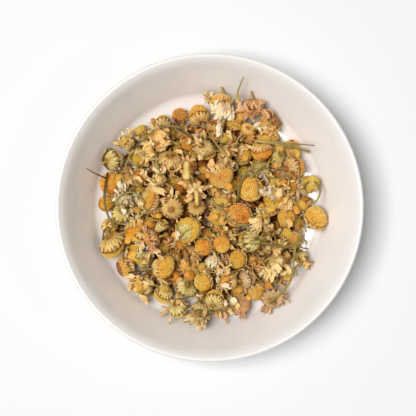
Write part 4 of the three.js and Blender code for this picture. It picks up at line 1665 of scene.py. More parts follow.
@dataclass(frozen=True)
class GlazeFinish:
    """The bowl's glossy warm-white glaze, thinner in patches, darker towards the top of its lip, and darker
    low in the bowl with painted shade where the glaze pools.
    """

    name: str = "warm_white_glaze"
    colour: Rgb = srgb(248, 244, 240)
    thin: Rgb = srgb(238, 229, 219)
    lip: Rgb = srgb(228, 224, 219)
    pooled: Rgb = srgb(231, 225, 219)
    pitted: Rgb = srgb(188, 168, 148)
    roughness: float = 0.1

    def material(self) -> Material:
        """Builds the material.

        Returns:
            The material.
        """
        material, shader = new_material(self.name)
        place = shader.place()
        # The first noise sets where the glaze is thinner.
        pooled, wavy = shader.noise(place, 45.0, 2.0), shader.noise(place, 70.0, 1.0)
        pits = shader.add("TexVoronoi", {"Vector": place, "Scale": 420.0}).outputs["Distance"]
        spots = shader.noise(place, 300.0, 1.0)
        pit = shader.math("MULTIPLY", shader.ramp(pits, 0.16, 0.02), shader.ramp(spots, 0.62, 0.7))
        thin = shader.math("MULTIPLY", shader.ramp(pooled, 0.4, 0.75), 0.25)
        colour = shader.mix(thin, (*self.colour, 1), (*self.thin, 1))
        height = shader.add("SeparateXYZ", {0: place}).outputs[2]
        # Painted shade: darker low in the bowl and on its floor, where the glaze also pools.
        colour = shader.mix(shader.ramp(height, 0.012, 0.0055), colour, (*self.pooled, 1))
        # Darker towards the top of the lip.
        lip = shader.math("MULTIPLY", shader.ramp(height, 0.0275, 0.0295), 0.75)
        colour = shader.mix(lip, colour, (*self.lip, 1))
        colour = shader.mix(shader.math("MULTIPLY", pit, 0.35), colour, (*self.pitted, 1))
        bump = shader.bump(pit, -0.00008, 0.5, Normal=shader.bump(wavy, 0.0006, 0.25))
        shader.finish(colour, bump, self.roughness, {"IOR": 1.5})
        return material


@dataclass(frozen=True)
class BiscuitFinish:
    """The unglazed edge of the foot."""

    name: str = "bare_foot"
    colour: Rgb = srgb(222, 208, 190)
    specks: Rgb = srgb(176, 156, 132)
    roughness: float = 0.85

    def material(self) -> Material:
        """Builds the material.

        Returns:
            The material.
        """
        material, shader = new_material(self.name)
        grains = shader.noise(shader.place(), 1600.0, 3.0)
        colour = shader.mix(shader.ramp(grains, 0.55, 0.75), (*self.colour, 1), (*self.specks, 1))
        shader.finish(colour, shader.bump(grains, 0.0002, 0.5), self.roughness, {})
        return material


DRY_FINISHES = (
    DryFinish("golden_florets", srgb(204, 112, 30), 0.25, 240, 2600, hollow=0.86, see_through=0.04),
    DryFinish(
        "ribbed_bracts", srgb(190, 138, 62), 0.25, 320, 2400, 0.7, hollow=0.25, lines=1.5, margin=0.85,
        see_through=0.04,
    ),
    DryFinish("papery_petals", srgb(232, 178, 100), 0.3, 420, 1800, 0.65, 0.00008, lines=2, margin=0.6),
    DryFinish("spongy_pith", srgb(166, 138, 84), 0.6, 700, 2600, 0.85, 0.0003, see_through=0.2),
    DryFinish("dry_stalks", srgb(112, 84, 44), 0.5, 180, 2200, 0.6, lines=5),
)


class Finishes:
    """Every material of the object."""

    def __init__(self) -> None:
        """Builds the shared groups and the materials."""
        grain, veins = make_grain(), make_veins()
        self.plant = [finish.material(grain, veins) for finish in DRY_FINISHES]
        self.glaze = GlazeFinish().material()
        self.biscuit = BiscuitFinish().material()


# ---- the pieces ----


def hand_over(piece: Piece, slot: str, *nodes: str) -> None:
    """Lets a finished piece ride on the object and stand for its solids.

    Args:
        piece: The piece.
        slot: The record's material slot; not used.
        *nodes: The solids that it stands for.
    """
    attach(piece, "root")
    if nodes:
        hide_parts(*nodes)
    log.info("%s: %d faces for %s", piece.name, len(piece.data.polygons), ", ".join(nodes) or "no solid")


@dataclass
class GlazedBowl:
    """The bowl, spun from its outline."""

    sizes: BowlSizes = field(default_factory=BowlSizes)
    sides: int = 160
    floor_end: float = 39.5
    wall: Line = (
        (42.5, 5.06), (45.5, 5.35), (48, 6.05), (49.9, 7.3), (51.2, 9.1), (53.4, 13.2), (55.9, 18),
        (58.4, 23), (60.2, 26.7),
    )
    step: float = 0.55

    def kept_inside(self, points: Array, gap: float = 0.05) -> Array:
        """Points of which none lies in the glaze: each is lifted or moved in, whichever is less.

        Args:
            points: The points.
            gap: How far off the glaze they are kept.

        Returns:
            The points as they are kept.
        """
        radii, heights = np.array(((self.floor_end, self.sizes.floor_height), *self.wall)).T
        out = np.maximum(np.hypot(points[:, 0], points[:, 1]), 1e-6)
        least = np.interp(out, radii, heights) + gap
        most = np.interp(np.maximum(points[:, 2], heights[0] + gap), heights, radii) - gap
        lift, shove = least - points[:, 2], out - most
        height = np.where((lift > 0) & (lift <= shove), least, np.maximum(points[:, 2], heights[0] + gap))
        share = np.where((lift > 0) & (lift > shove) & (shove > 0), most / out, 1.0)
        return np.column_stack([points[:, 0] * share, points[:, 1] * share, height])

    def outline(self) -> list[Pair]:
        """The bowl's outline, from the floor's middle over the lip to the foot's recess.

        Returns:
            Its points, each a radius and a height.
        """
        s = self.sizes
        inside = smooth_line(np.array([(self.floor_end, s.floor_height), *self.wall, *s.lip]), self.step)
        wide, deep = s.outer_top - s.foot_outer, s.lip_drop - s.foot_top
        quarter = np.radians(np.linspace(0, -90, 21))
        outer = [(s.foot_outer + wide * math.cos(a), s.lip_drop + deep * math.sin(a)) for a in quarter]
        foot = [
            (s.foot_outer, 1.2), (s.foot_outer - 0.1, 0.5), (s.foot_outer - 0.6, 0.0),
            (s.foot_inner + 0.6, 0.0), (s.foot_inner + 0.1, 0.4), (s.foot_inner, s.foot_recess - 0.4),
            (s.foot_inner - 0.5, s.foot_recess),
        ]
        floor = [(0, s.floor_height), (18, s.floor_height), (34, s.floor_height)]
        recess = [(18, s.foot_recess), (0, s.foot_recess)]
        return [*floor, *map(tuple, inside), *outer, *foot, *recess]

    def make(self, finishes: Finishes) -> None:
        """Models the bowl and dresses it.

        Args:
            finishes: The materials.
        """
        piece = Bench.spin("glazed_bowl", [(r * MM, z * MM) for r, z in self.outline()], self.sides)
        mesh = piece.data
        mesh.materials.append(finishes.glaze)
        mesh.materials.append(finishes.biscuit)
        for face in mesh.polygons:
            out = math.hypot(*face.center[:2]) / MM
            bare = face.center.z < 0.3 * MM and self.sizes.foot_inner < out < self.sizes.foot_outer
            face.material_index = 1 if bare else 0
            face.use_smooth = True
        hand_over(piece, "bowl_glaze", "bowl")


@dataclass
class Workshop:
    """What the plant's pieces are made with and lie on."""

    heap: Heap
    bowl: GlazedBowl
    finishes: Finishes
    kit: FlowerKit

    def __post_init__(self) -> None:
        """Maps the heap's surface, by whose depth shade and light are painted."""
        self.surface = HeapSurface(self.heap.heads, self.heap.bowl.floor_height)

    def rest(self, x: float, y: float, radius: float, gap: float) -> float:
        """The height at which a ball rests on the whole heap."""
        return self.heap.rest_on(self.heap.heads, x, y, radius, gap)

    def dress(self, name: str, slot: str, whole: Pattern, colours: Array, *nodes: str) -> None:
        """Makes a piece of plant matter and hands it over.

        Args:
            name: The piece's name.
            slot: The record's material slot.
            whole: Its shape.
            colours: Its vertices' colours.
            *nodes: The solids that it stands for.
        """
        piece = make_mesh(name, whole, colours)
        for material in self.finishes.plant:
            piece.data.materials.append(material)
        hand_over(piece, slot, *nodes)

    def gather(self, name: str, slot: str, copies: Iterable[Copy], *nodes: str, stain: bool = True) -> None:
        """Makes one piece of many copies, none of them in the glaze, and hands it over.

        Args:
            name: The piece's name.
            slot: The record's material slot.
            copies: The patterns with their colours.
            *nodes: The solids that it stands for.
            stain: Whether painted shade darkens its colours with depth, and painted light pales what stands
                out.
        """
        made, shades = zip(*copies)
        whole, colours = Pattern.joined(made), np.concatenate(shades)
        whole.points = self.bowl.kept_inside(whole.points)
        # Painted shade by depth in the heap, and painted light where it stands out.
        if stain:
            colours = self.surface.stained(whole.points, colours)
        self.dress(name, slot, whole, colours, *nodes)


@dataclass
class FlowerHeap:
    """All the bunches of flower heads."""

    shop: Workshop
    seed: int = 7

    def make(self) -> None:
        """Puts every bunch together."""
        rng = np.random.default_rng(self.seed)
        for node, heads in self.shop.heap.bunches().items():
            family, number = node.rsplit("_heads_", 1)
            copies = [self.shop.kit.head(head, rng) for head in heads]
            self.shop.gather(f"chamomile_{family}_{number}", f"{family}_flower_heads", copies, node)


@dataclass
class FloorCrumbsAndShade:
    """A dark sheet over the bowl's floor under the heap, with bare patches: crumbs, and painted shade that
    shows through the gaps between the heads.
    """

    shop: Workshop
    radius: float = 38
    depth: float = 2.4
    middle: float = 4.5

    def make(self) -> None:
        """Models the dark sheet of crumbs and painted shade."""
        floor_sheet = make_ball(Part.FLORET, 84, 84)
        ways = floor_sheet.points
        broad, fine = (
            np.array([noise.noise(Vector((x * scale, y * scale, layer))) for x, y, _ in ways])
            for scale, layer in ((3.2, 0.5), (22, 7.5))
        )
        rise = np.clip(0.75 + 1.3 * broad + 0.7 * fine, 0.1, 1.8)
        size = self.radius * (1 + 0.1 * broad)
        height = np.maximum(self.middle + ways[:, 2] * self.depth * rise, self.middle - 1)
        floor_sheet.points = np.column_stack([ways[:, 0] * size, ways[:, 1] * size, height])
        floor_sheet.form[:, 2] = 0.5 + 0.5 * fine
        floor_sheet.vary = np.clip(1.6 * fine, -0.8, 0.8)
        # Brown, and darker still with depth: painted shade under the heap.
        floor_sheet, colours = floor_sheet.coloured(PALETTES[BROWN])
        stained = self.shop.surface.stained(floor_sheet.points, colours)
        self.shop.dress("dust_on_the_floor", "tan_flower_heads", floor_sheet, stained)


@dataclass(frozen=True)
class Litter:
    """A kind of loose matter.

    Attributes:
        count: How many pieces there are.
        size: The least and greatest size, in millimetres.
        sunk: How deep the pieces sit between what carries them, in millimetres.
        crevices: Whether they lie mostly in the gaps between heads.
        tints: The colours that are drawn from.
        bed: The least and greatest height of pieces that lie on the bowl's floor.
    """

    count: int
    size: Pair
    sunk: float
    crevices: bool
    tints: tuple[Tint, ...]
    bed: Pair | None = None


@dataclass
class LooseMatter:
    """Petals, bracts, broken discs and florets that have come off and lie between the heads."""

    shop: Workshop
    bed: Litter = Litter(700, (3.2, 6.0), 0, False, (BROWN, OLIVE, BROWN, AMBER), (5.8, 9.0))
    deep_petals: Litter = Litter(160, (3.6, 6.2), 2.6, True, (BROWN, OLIVE, SAND, OLIVE, AMBER))
    broken: Litter = Litter(80, (2.3, 3.5), 1.8, True, (GOLD, OLIVE, SAND, GOLD, OLIVE, AMBER))
    chunks: Litter = Litter(40, (1.3, 2.4), 0.9, True, (AMBER, GOLD, SAND, GOLD))
    petals: Litter = Litter(50, (3.6, 5.6), 0.7, True, (CREAM, APRICOT, SAND, CREAM, ROSE, WHITE, OLIVE))
    clumps: Litter = Litter(70, (4.0, 6.0), 1.6, True, (CREAM, OLIVE, SAND, OLIVE, APRICOT, WHITE))
    florets: Litter = Litter(360, (0.25, 0.45), 0.2, False, (GOLD, AMBER, SAND, BROWN, OLIVE))
    threads: Litter = Litter(140, (3.5, 8.0), 0.5, False, (OLIVE, SAND, OLIVE))
    reach: float = 47.5
    crowd: float = 4.5
    crowd_heads: int = 4
    seed: int = 11

    def make(self) -> None:
        """Scatters the loose matter over the heap."""
        rng = np.random.default_rng(self.seed)
        kit = self.shop.kit
        middle = np.array(Matrix.Translation((-0.5, 0, 0)))
        petals, scraps = ([one.placed(middle) for one in kind] for kind in (kit.petals, kit.scraps))
        loose = petals + [kit.bract.placed(middle)] * 2
        pieces = {
            ("bed_of_scraps", "tan_flower_heads"): ((self.bed, scraps), (self.deep_petals, scraps)),
            ("broken_heads", "golden_flower_heads"): ((self.broken, kit.broken), (self.chunks, kit.chunks)),
            ("loose_petals_and_scraps", "cream_flower_heads"): (
                (self.petals, loose), (self.clumps, kit.clumps), (self.florets, [kit.bead]),
                (self.threads, kit.threads),
            ),
        }
        for names, kinds in pieces.items():
            self.shop.gather(*names, [copy for kind in kinds for copy in self._strewn(*kind, rng)])

    def _strewn(self, litter: Litter, patterns: Sequence[Pattern], rng: Rng) -> Iterator[Copy]:
        """Strews one kind of loose matter over the heap.

        Args:
            litter: The kind.
            patterns: What is copied.
            rng: Draws the places.

        Yields:
            Each copy with its colours.
        """
        for _ in range(litter.count):
            place = Matrix.Translation(self._spot(litter, rng))
            turn = rolled(rng.random() * TURN, rng.normal(0, 0.5), rng.normal(0, 0.8))
            size = Matrix.Scale(rng.uniform(*litter.size), 4)
            pattern, tint = one_of(patterns, rng), one_of(litter.tints, rng)
            lean = float(np.clip(rng.normal(-0.05, 0.3), -0.8, 0.5))
            yield pattern.placed(np.array(place @ turn @ size), lean).coloured(PALETTES[tint])

    def _spot(self, litter: Litter, rng: Rng) -> tuple[float, float, float]:
        """A place for one piece, on or between the heads.

        Args:
            litter: Its kind.
            rng: Draws the place.

        Returns:
            Its x, y and z.
        """
        while True:
            out, around = self.reach * math.sqrt(rng.random()), rng.random() * TURN
            x, y = out * math.cos(around), out * math.sin(around)
            near = [math.hypot(x - head.x, y - head.y) - head.radius for head in self.shop.heap.heads]
            lonely = sum(gap < self.crowd for gap in near) < self.crowd_heads
            if lonely and min(near) > 0.6 - 0.4 * litter.size[1]:
                continue
            if litter.bed:
                return x, y, rng.uniform(*litter.bed)
            z = self.shop.rest(x, y, litter.sunk, -litter.sunk)
            top = 22 - 8 * (out / self.reach) ** 2
            if not litter.crevices or rng.random() < (top - z) / 7:
                return x, y, z


# Petals on top: x, y of the root, the way that it points in the plan in degrees, length, width, colour.
LAID_PETALS = (
    # the far left
    (-23.4, 32.3, -37, 6.3, 2.2, APRICOT), (-22.2, 33.5, -40, 6.6, 2.0, APRICOT),
    (-24.3, 29.8, -28, 6.2, 2.2, APRICOT), (-19.6, 33.5, -45, 3.4, 1.6, APRICOT),
    (-22.2, 25.5, 25, 6.0, 1.8, APRICOT), (-22.6, 24.3, 20, 4.9, 1.6, CREAM),
    (-25.5, 30.6, -73, 5.7, 1.8, CREAM), (-30.2, 23.0, -32, 4.0, 1.8, CREAM),
    (-28.0, 18.8, 45, 3.4, 1.6, CREAM), (-15.4, 23.8, -7, 3.6, 1.8, APRICOT),
    (-6.1, 27.2, 18, 4.0, 2.4, CREAM), (-8.2, 29.8, -85, 4.0, 1.6, CREAM),
    (-4.0, 23.0, -67, 3.2, 1.6, CREAM),
    # around the cone
    (-9.3, 19.6, 185, 4.2, 1.7, APRICOT), (-9.3, 19.6, 150, 3.8, 1.6, CREAM),
    (-9.3, 19.6, 95, 3.4, 1.6, APRICOT), (-9.3, 19.6, 30, 3.6, 1.6, CREAM),
    (-9.3, 19.6, -20, 4.2, 1.6, APRICOT), (-9.3, 19.6, 212, 4.2, 1.5, APRICOT),
    (-5.7, 7.8, 200, 3.8, 1.4, CREAM), (-5.7, 7.8, 160, 3.6, 1.3, CREAM),
    (-5.7, 7.8, 110, 2.8, 1.2, CREAM), (-5.7, 7.8, 55, 3.4, 1.3, APRICOT),
    (-5.7, 7.8, 15, 3.8, 1.3, CREAM), (-5.7, 7.8, -25, 3.4, 1.2, CREAM),
    # left of the middle
    (-22.2, 9.9, 150, 4.2, 1.6, CREAM), (-22.2, 9.9, 120, 4.6, 1.6, CREAM),
    (-22.2, 9.9, 92, 4.2, 1.5, CREAM), (-22.2, 9.9, 66, 3.6, 1.5, APRICOT),
    (-26.0, 9.1, -18, 8.0, 2.2, CREAM), (-26.2, 10.2, -17, 5.6, 1.6, CREAM),
    (-17.1, 11.6, 40, 4.4, 3.0, APRICOT), (-19.2, 16.7, 10, 3.0, 1.3, APRICOT),
    (-15.0, 15.4, 40, 4.0, 1.6, APRICOT), (-28.9, 16.7, -70, 4.2, 2.0, CREAM),
    (-26.8, 16.2, 230, 3.6, 1.8, CREAM), (-36.5, 10.3, 38, 4.4, 2.4, APRICOT),
    (-33.2, 13.4, -65, 3.4, 1.6, CREAM), (-32.3, 13.7, -40, 4.2, 1.6, CREAM),
    (-35.2, 3.2, 250, 3.8, 1.6, WHITE), (-34.0, 3.4, -74, 3.6, 1.5, WHITE),
    (-29.8, 3.6, -79, 4.2, 2.0, CREAM), (-38.2, 0.6, -60, 3.6, 1.6, WHITE),
    (-35.7, -1.9, 248, 4.6, 1.4, WHITE), (-34.4, 0.2, -70, 3.8, 1.6, CREAM),
    (-20.5, 4.0, -50, 3.6, 1.7, APRICOT), (-18.0, 4.4, 230, 3.6, 1.6, APRICOT),
    (-5.7, 4.9, -17, 4.4, 1.8, APRICOT), (-7.0, 4.9, 210, 3.6, 1.6, APRICOT),
    (-3.6, 7.4, 20, 3.8, 1.6, APRICOT), (-14.2, -9.4, -79, 4.4, 1.3, WHITE),
    (-30.2, -15.0, -88, 4.6, 1.4, CREAM), (-28.7, -14.1, 261, 4.4, 1.3, CREAM),
    (-14.1, -39.9, -36, 3.8, 1.8, CREAM),
    # the white ones at the back
    (7.0, 42.8, 235, 5.4, 1.7, WHITE), (8.7, 42.8, 254, 6.4, 3.2, WHITE),
    (6.6, 43.0, 262, 5.8, 2.6, WHITE), (8.2, 45.0, 262, 8.2, 3.0, WHITE),
    (6.2, 44.4, 243, 7.4, 2.6, WHITE), (9.6, 43.6, 272, 7.6, 2.5, WHITE),
    (5.3, 38.4, 253, 8.0, 2.5, WHITE), (2.7, 41.1, 127, 4.4, 1.8, WHITE),
    (4.0, 42.0, 103, 4.2, 1.8, WHITE), (5.7, 42.4, 88, 4.0, 1.8, WHITE),
    (7.4, 42.0, 55, 4.0, 1.8, WHITE),
    # across the cut head
    (22.4, 37.2, -16, 4.8, 1.3, BROWN), (22.2, 35.4, -22, 4.6, 1.1, CREAM),
    (22.8, 33.2, -25, 4.4, 1.2, APRICOT), (25.6, 36.4, -64, 4.6, 1.1, BROWN),
    (26.8, 36.0, -80, 4.2, 1.2, APRICOT),
    # right of the middle
    (12.0, 25.5, 0, 4.8, 1.7, CREAM), (12.4, 23.8, 16, 3.6, 1.6, CREAM),
    (15.4, 27.2, -50, 3.6, 1.6, APRICOT), (10.8, 19.6, -63, 4.0, 2.0, WHITE),
    (6.1, 25.1, -66, 4.2, 1.9, APRICOT), (5.3, 22.2, 34, 3.4, 1.6, CREAM),
    (2.7, 18.8, -61, 4.4, 1.6, APRICOT), (4.4, 19.2, -63, 4.0, 1.4, CREAM),
    (1.5, 17.5, -69, 3.8, 1.5, CREAM), (23.0, 4.9, 72, 5.4, 2.5, WHITE),
    (25.1, 4.0, 76, 6.8, 2.5, WHITE), (27.2, 3.2, 72, 5.6, 2.7, WHITE),
    (29.3, 3.6, 77, 4.2, 2.0, CREAM), (23.8, 8.2, 12, 4.4, 1.8, CREAM),
    (34.2, 4.9, 233, 7.0, 2.1, APRICOT), (35.2, 3.6, 240, 6.0, 2.0, CREAM),
    (31.4, 1.1, -37, 4.4, 2.0, APRICOT), (31.9, 1.9, -63, 4.8, 2.2, APRICOT),
    (30.2, -0.6, 23, 3.4, 1.7, CREAM), (33.5, -4.0, -73, 4.6, 1.9, APRICOT),
    (22.2, -4.9, 198, 5.6, 1.9, CREAM), (22.2, -4.9, 214, 6.4, 2.0, CREAM),
    (22.2, -4.9, 231, 6.6, 2.1, CREAM), (22.2, -4.9, 249, 6.2, 2.0, APRICOT),
    # the near right
    (23.8, -7.8, -52, 4.8, 2.0, APRICOT), (27.6, -7.4, 229, 4.2, 1.9, CREAM),
    (26.0, -23.0, -42, 5.8, 2.5, CREAM), (28.0, -22.2, -38, 4.2, 2.0, CREAM),
    (26.4, -25.5, -30, 4.2, 2.0, WHITE), (27.6, -17.5, -73, 4.6, 2.2, APRICOT),
    (32.3, -24.3, -58, 4.2, 1.8, CREAM), (7.0, -26.1, 219, 4.6, 1.4, WHITE),
    (3.6, -28.9, -87, 3.8, 1.3, WHITE), (4.2, -32.7, -16, 5.6, 1.5, WHITE),
    (8.7, -39.0, -59, 5.0, 2.5, WHITE), (7.0, -39.5, 262, 3.6, 1.1, WHITE),
    (11.2, -41.1, -56, 3.4, 1.8, CREAM), (5.3, -45.4, -56, 3.0, 1.6, ROSE),
    (3.2, -45.2, 254, 3.0, 1.5, ROSE),
)

# Broken bits of discs on top: x, y, radius, colour.
LAID_BITS = (
    (-7.8, 34.0, 1.5, AMBER), (-0.6, 13.7, 1.5, AMBER), (37.3, -1.0, 2.5, AMBER), (6.1, -10.8, 1.6, AMBER),
    (-9.5, -29.3, 2.0, AMBER), (22.2, -23.0, 1.7, AMBER), (3.6, 5.3, 1.6, APRICOT),
    (-10.3, 9.5, 1.3, APRICOT), (-14.8, -11.6, 1.8, AMBER), (-5.2, 33.0, 1.3, ROSE),
    (2.3, -4.0, 2.0, GOLD), (8.2, 8.9, 2.2, AMBER),
)


@dataclass
class LaidMatter:
    """The petals and broken discs that lie on top of the heap, each in its place."""

    shop: Workshop
    steepest: float = 0.5
    flat_width: float = 0.36  # that of the petals as they are modelled
    seed: int = 13

    def make(self) -> None:
        """Lays every piece."""
        rng = np.random.default_rng(self.seed)
        self.shop.gather("petals_on_top", "cream_flower_heads", [*self._petals(rng), *self._bits(rng)])

    def _petals(self, rng: Rng) -> Iterator[Copy]:
        """The petals, each with a shorter one beside it.

        Args:
            rng: Draws what differs.

        Yields:
            Each petal with its colours.
        """
        for x, y, way, length, width, tint in LAID_PETALS:
            for share in (1.0, 0.75):
                leaf = one_of(self.shop.kit.fine_petals, rng)
                turn = way + rng.normal(0, 4 / share**5)
                matrix = self._lie(x, y, turn, length * share * 1.1, width * 1.15, rng)
                lean = float(rng.normal(0.35 * share - 0.2, 0.15))
                yield leaf.placed(matrix, lean).coloured(PALETTES[tint])

    def _bits(self, rng: Rng) -> Iterator[Copy]:
        """The broken bits of discs.

        Args:
            rng: Draws what differs.

        Yields:
            Each bit with its colours.
        """
        for x, y, radius, tint in LAID_BITS:
            place = Matrix.Translation((x, y, self.shop.rest(x, y, radius * 0.7, -0.5)))
            turn = rolled(rng.random() * TURN, rng.normal(0, 0.7))
            bit = one_of(self.shop.kit.chunks, rng).placed(np.array(place @ turn @ Matrix.Scale(radius, 4)))
            yield bit.coloured(PALETTES[tint])

    def _lie(self, x: float, y: float, way: float, length: float, width: float, rng: Rng) -> Array:
        """The matrix that lays a petal from its root to its tip on what is under them.

        Args:
            x, y: The root's place.
            way: The way that it points in the plan, in degrees.
            length, width: Its size.
            rng: Draws its roll.

        Returns:
            A 4 by 4 matrix.
        """
        angle = math.radians(way)
        ahead = Vector((math.cos(angle), math.sin(angle), 0))
        root, tip = (
            self.shop.rest(x + ahead.x * far, y + ahead.y * far, 0.5, 0.1)
            for far in (0.15 * length, 0.75 * length)
        )
        slope = min(self.steepest, max(-self.steepest, (tip - root) / (0.6 * length)))
        middle = max(root, tip) if abs(tip - root) > 3 else (root + tip) / 2
        start = Vector((x, y, middle - slope * length / 2 + 0.3))
        ahead.z = slope
        ahead.normalize()
        side = Vector((-math.sin(angle), math.cos(angle), rng.normal(0, 0.25))).normalized()
        matrix = np.eye(4)
        matrix[:3, 0] = np.array(ahead) * length
        matrix[:3, 1] = np.array(side) * width / self.flat_width
        matrix[:3, 2] = np.array(ahead.cross(side)) * width / self.flat_width
        matrix[:3, 3] = start
        return matrix


@dataclass(frozen=True)
class Stalk:
    """A loose stalk, with the colours at its plan's two ends.

    Each twig has its share along the stalk, the way that it leaves in the plan, in degrees, its
    length in millimetres and how far it climbs for each one.
    """

    radius: float
    plan: Line
    start: Rgb
    end: Rgb
    twigs: tuple[tuple[float, float, float, float], ...] = ()

    def coloured(self, tube: Pattern) -> Copy:
        """A tube of it with its colours."""
        along = tube.form[:, 1][:, None]
        return tube, np.array(self.start) * (1 - along) + np.array(self.end) * along


MOSS = srgb(172, 158, 88)
DARK_MOSS = srgb(124, 114, 62)
STRAW = srgb(206, 186, 116)
DARK_BROWN = srgb(92, 64, 40)
RED_BROWN = srgb(150, 84, 44)
PALE_MOSS = srgb(190, 178, 104)
PALE_STUB = srgb(250, 218, 134)

# The stalks that stand for solids, by the solid's name.
STALKS: dict[str, Stalk] = {
    "stalk_left_edge": Stalk(
        0.5, ((-44, 15), (-45, 9), (-45, 2), (-43.5, -4), (-40.5, -9)), DARK_BROWN, MOSS,
        ((0.1, 160, 9, 0.9),),
    ),
    "stalk_left_curl": Stalk(0.45, ((-34, 22.5), (-36, 17.5), (-33, 12), (-29, 9)), MOSS, MOSS),
    "stalk_back_left": Stalk(0.4, ((-21, 34), (-26, 31), (-29.5, 27.5)), MOSS, DARK_MOSS),
    "stalk_back": Stalk(
        0.55, ((13, 46), (11.5, 49), (9.5, 45), (7.5, 42)), STRAW, MOSS, ((0.3, 75, 7, 1.2),)
    ),
    "stalk_back_straw": Stalk(0.45, ((-21, 36), (-15, 34.5), (-9.5, 33.5)), STRAW, STRAW),
    "stalk_middle": Stalk(0.4, ((0.5, 30.5), (4.5, 25), (8.5, 20.5)), MOSS, STRAW),
    "stalk_right_long": Stalk(
        0.55, ((20, 28.5), (27, 27.5), (35, 26.5), (43.5, 24.5)), STRAW, MOSS,
        ((0.12, -2, 22, 0.05), (0.55, 4, 8, 0.1), (0.3, -16, 8, 0.0)),
    ),
    "stalk_right_loop": Stalk(
        0.45, ((41, 8.5), (43, 11), (46, 11), (48, 7.5), (47, 4), (44.5, 1)), DARK_MOSS, MOSS
    ),
    "stalk_right_front": Stalk(
        0.5, ((40.5, -10), (37, -17), (36, -26), (34, -33), (29, -38), (25, -41)), MOSS, MOSS,
        (
            (0.1, -40, 5, 0.1), (0.22, -22, 5.5, 0.1), (0.34, -52, 5.5, 0.1), (0.46, -68, 5, 0.1),
            (0.2, 190, 12, 0.15),
        ),
    ),
    "stalk_right_cross": Stalk(
        0.5, ((40, -14.5), (35, -16.5), (29, -16.5), (24, -15.5), (19.5, -13)), MOSS, DARK_MOSS
    ),
    "stalk_centre_arc": Stalk(0.45, ((1.5, 2), (6, -1.5), (9, -5.5), (13, -7.5), (18, -7)), STRAW, MOSS),
    "stalk_front": Stalk(
        0.4, ((-5, -44), (1, -45), (6, -44), (11, -42)), DARK_MOSS, MOSS, ((0.0, -128, 4.5, 0.1),)
    ),
}

# Stalks on top that have no solid: the thin ones and two thick stubs.
LAID_STALKS = (
    Stalk(0.4, ((-43.3, 25.1), (-45.4, 22.2), (-45.8, 19.6), (-43.3, 16.2)), DARK_BROWN, DARK_MOSS),
    Stalk(
        0.4, ((-40.7, 1.1), (-39.5, 4), (-36.9, 5.7), (-33.5, 6.5), (-30.2, 5.3), (-27.2, 1.5)),
        MOSS, PALE_MOSS,
    ),
    Stalk(0.4, ((-24.7, 25.1), (-22.2, 17.9), (-21.7, 15.8)), PALE_MOSS, PALE_MOSS),
    Stalk(
        0.42, ((-15, 38.6), (-13.7, 36.1), (-14.1, 34.4), (-8.2, 30.6), (-5.3, 29.3)), DARK_BROWN, DARK_MOSS
    ),
    Stalk(0.35, ((17.1, 33.1), (12.9, 30.6), (10.8, 25.1)), STRAW, MOSS),
    Stalk(0.52, ((22.5, 21.3), (16.9, 15.6), (13.1, 10.3), (12, 2.4)), MOSS, DARK_MOSS),
    Stalk(0.4, ((22.2, 16.7), (17.1, 12.4)), DARK_MOSS, MOSS),
    Stalk(0.36, ((8.7, -1.1), (6.1, -6.1)), MOSS, DARK_MOSS),
    Stalk(0.8, ((16.9, -14.9), (21.5, -14.4)), PALE_MOSS, PALE_MOSS),
    Stalk(0.36, ((24.7, -29.8), (28.1, -34.4)), RED_BROWN, DARK_BROWN),
    Stalk(0.45, ((-35.2, -28.3), (-30, -27.4), (-24.9, -27.1)), DARK_BROWN, DARK_MOSS),
    Stalk(0.3, ((-32.7, -30.6), (-25.1, -28.1)), RED_BROWN, RED_BROWN),
    Stalk(0.35, ((-43.7, -8.2), (-45.4, -10.3), (-45.8, -14.1)), DARK_MOSS, DARK_BROWN),
    Stalk(0.35, ((23, 14), (29, 12.6), (34, 14.2)), MOSS, PALE_MOSS),
    Stalk(0.32, ((-12, -16.5), (-9.5, -20), (-8.5, -26)), DARK_MOSS, DARK_MOSS),
    Stalk(0.32, ((16, -25), (20, -22.5), (25.5, -23.5)), RED_BROWN, MOSS),
    Stalk(1.5, ((-9.7, 19.4), (-9.7, 16.4), (-9.6, 12.0)), PALE_STUB, PALE_STUB),
    Stalk(0.95, ((-5.6, 7.4), (-5.4, 4.4), (-5.2, 0.8)), PALE_STUB, PALE_STUB),
)


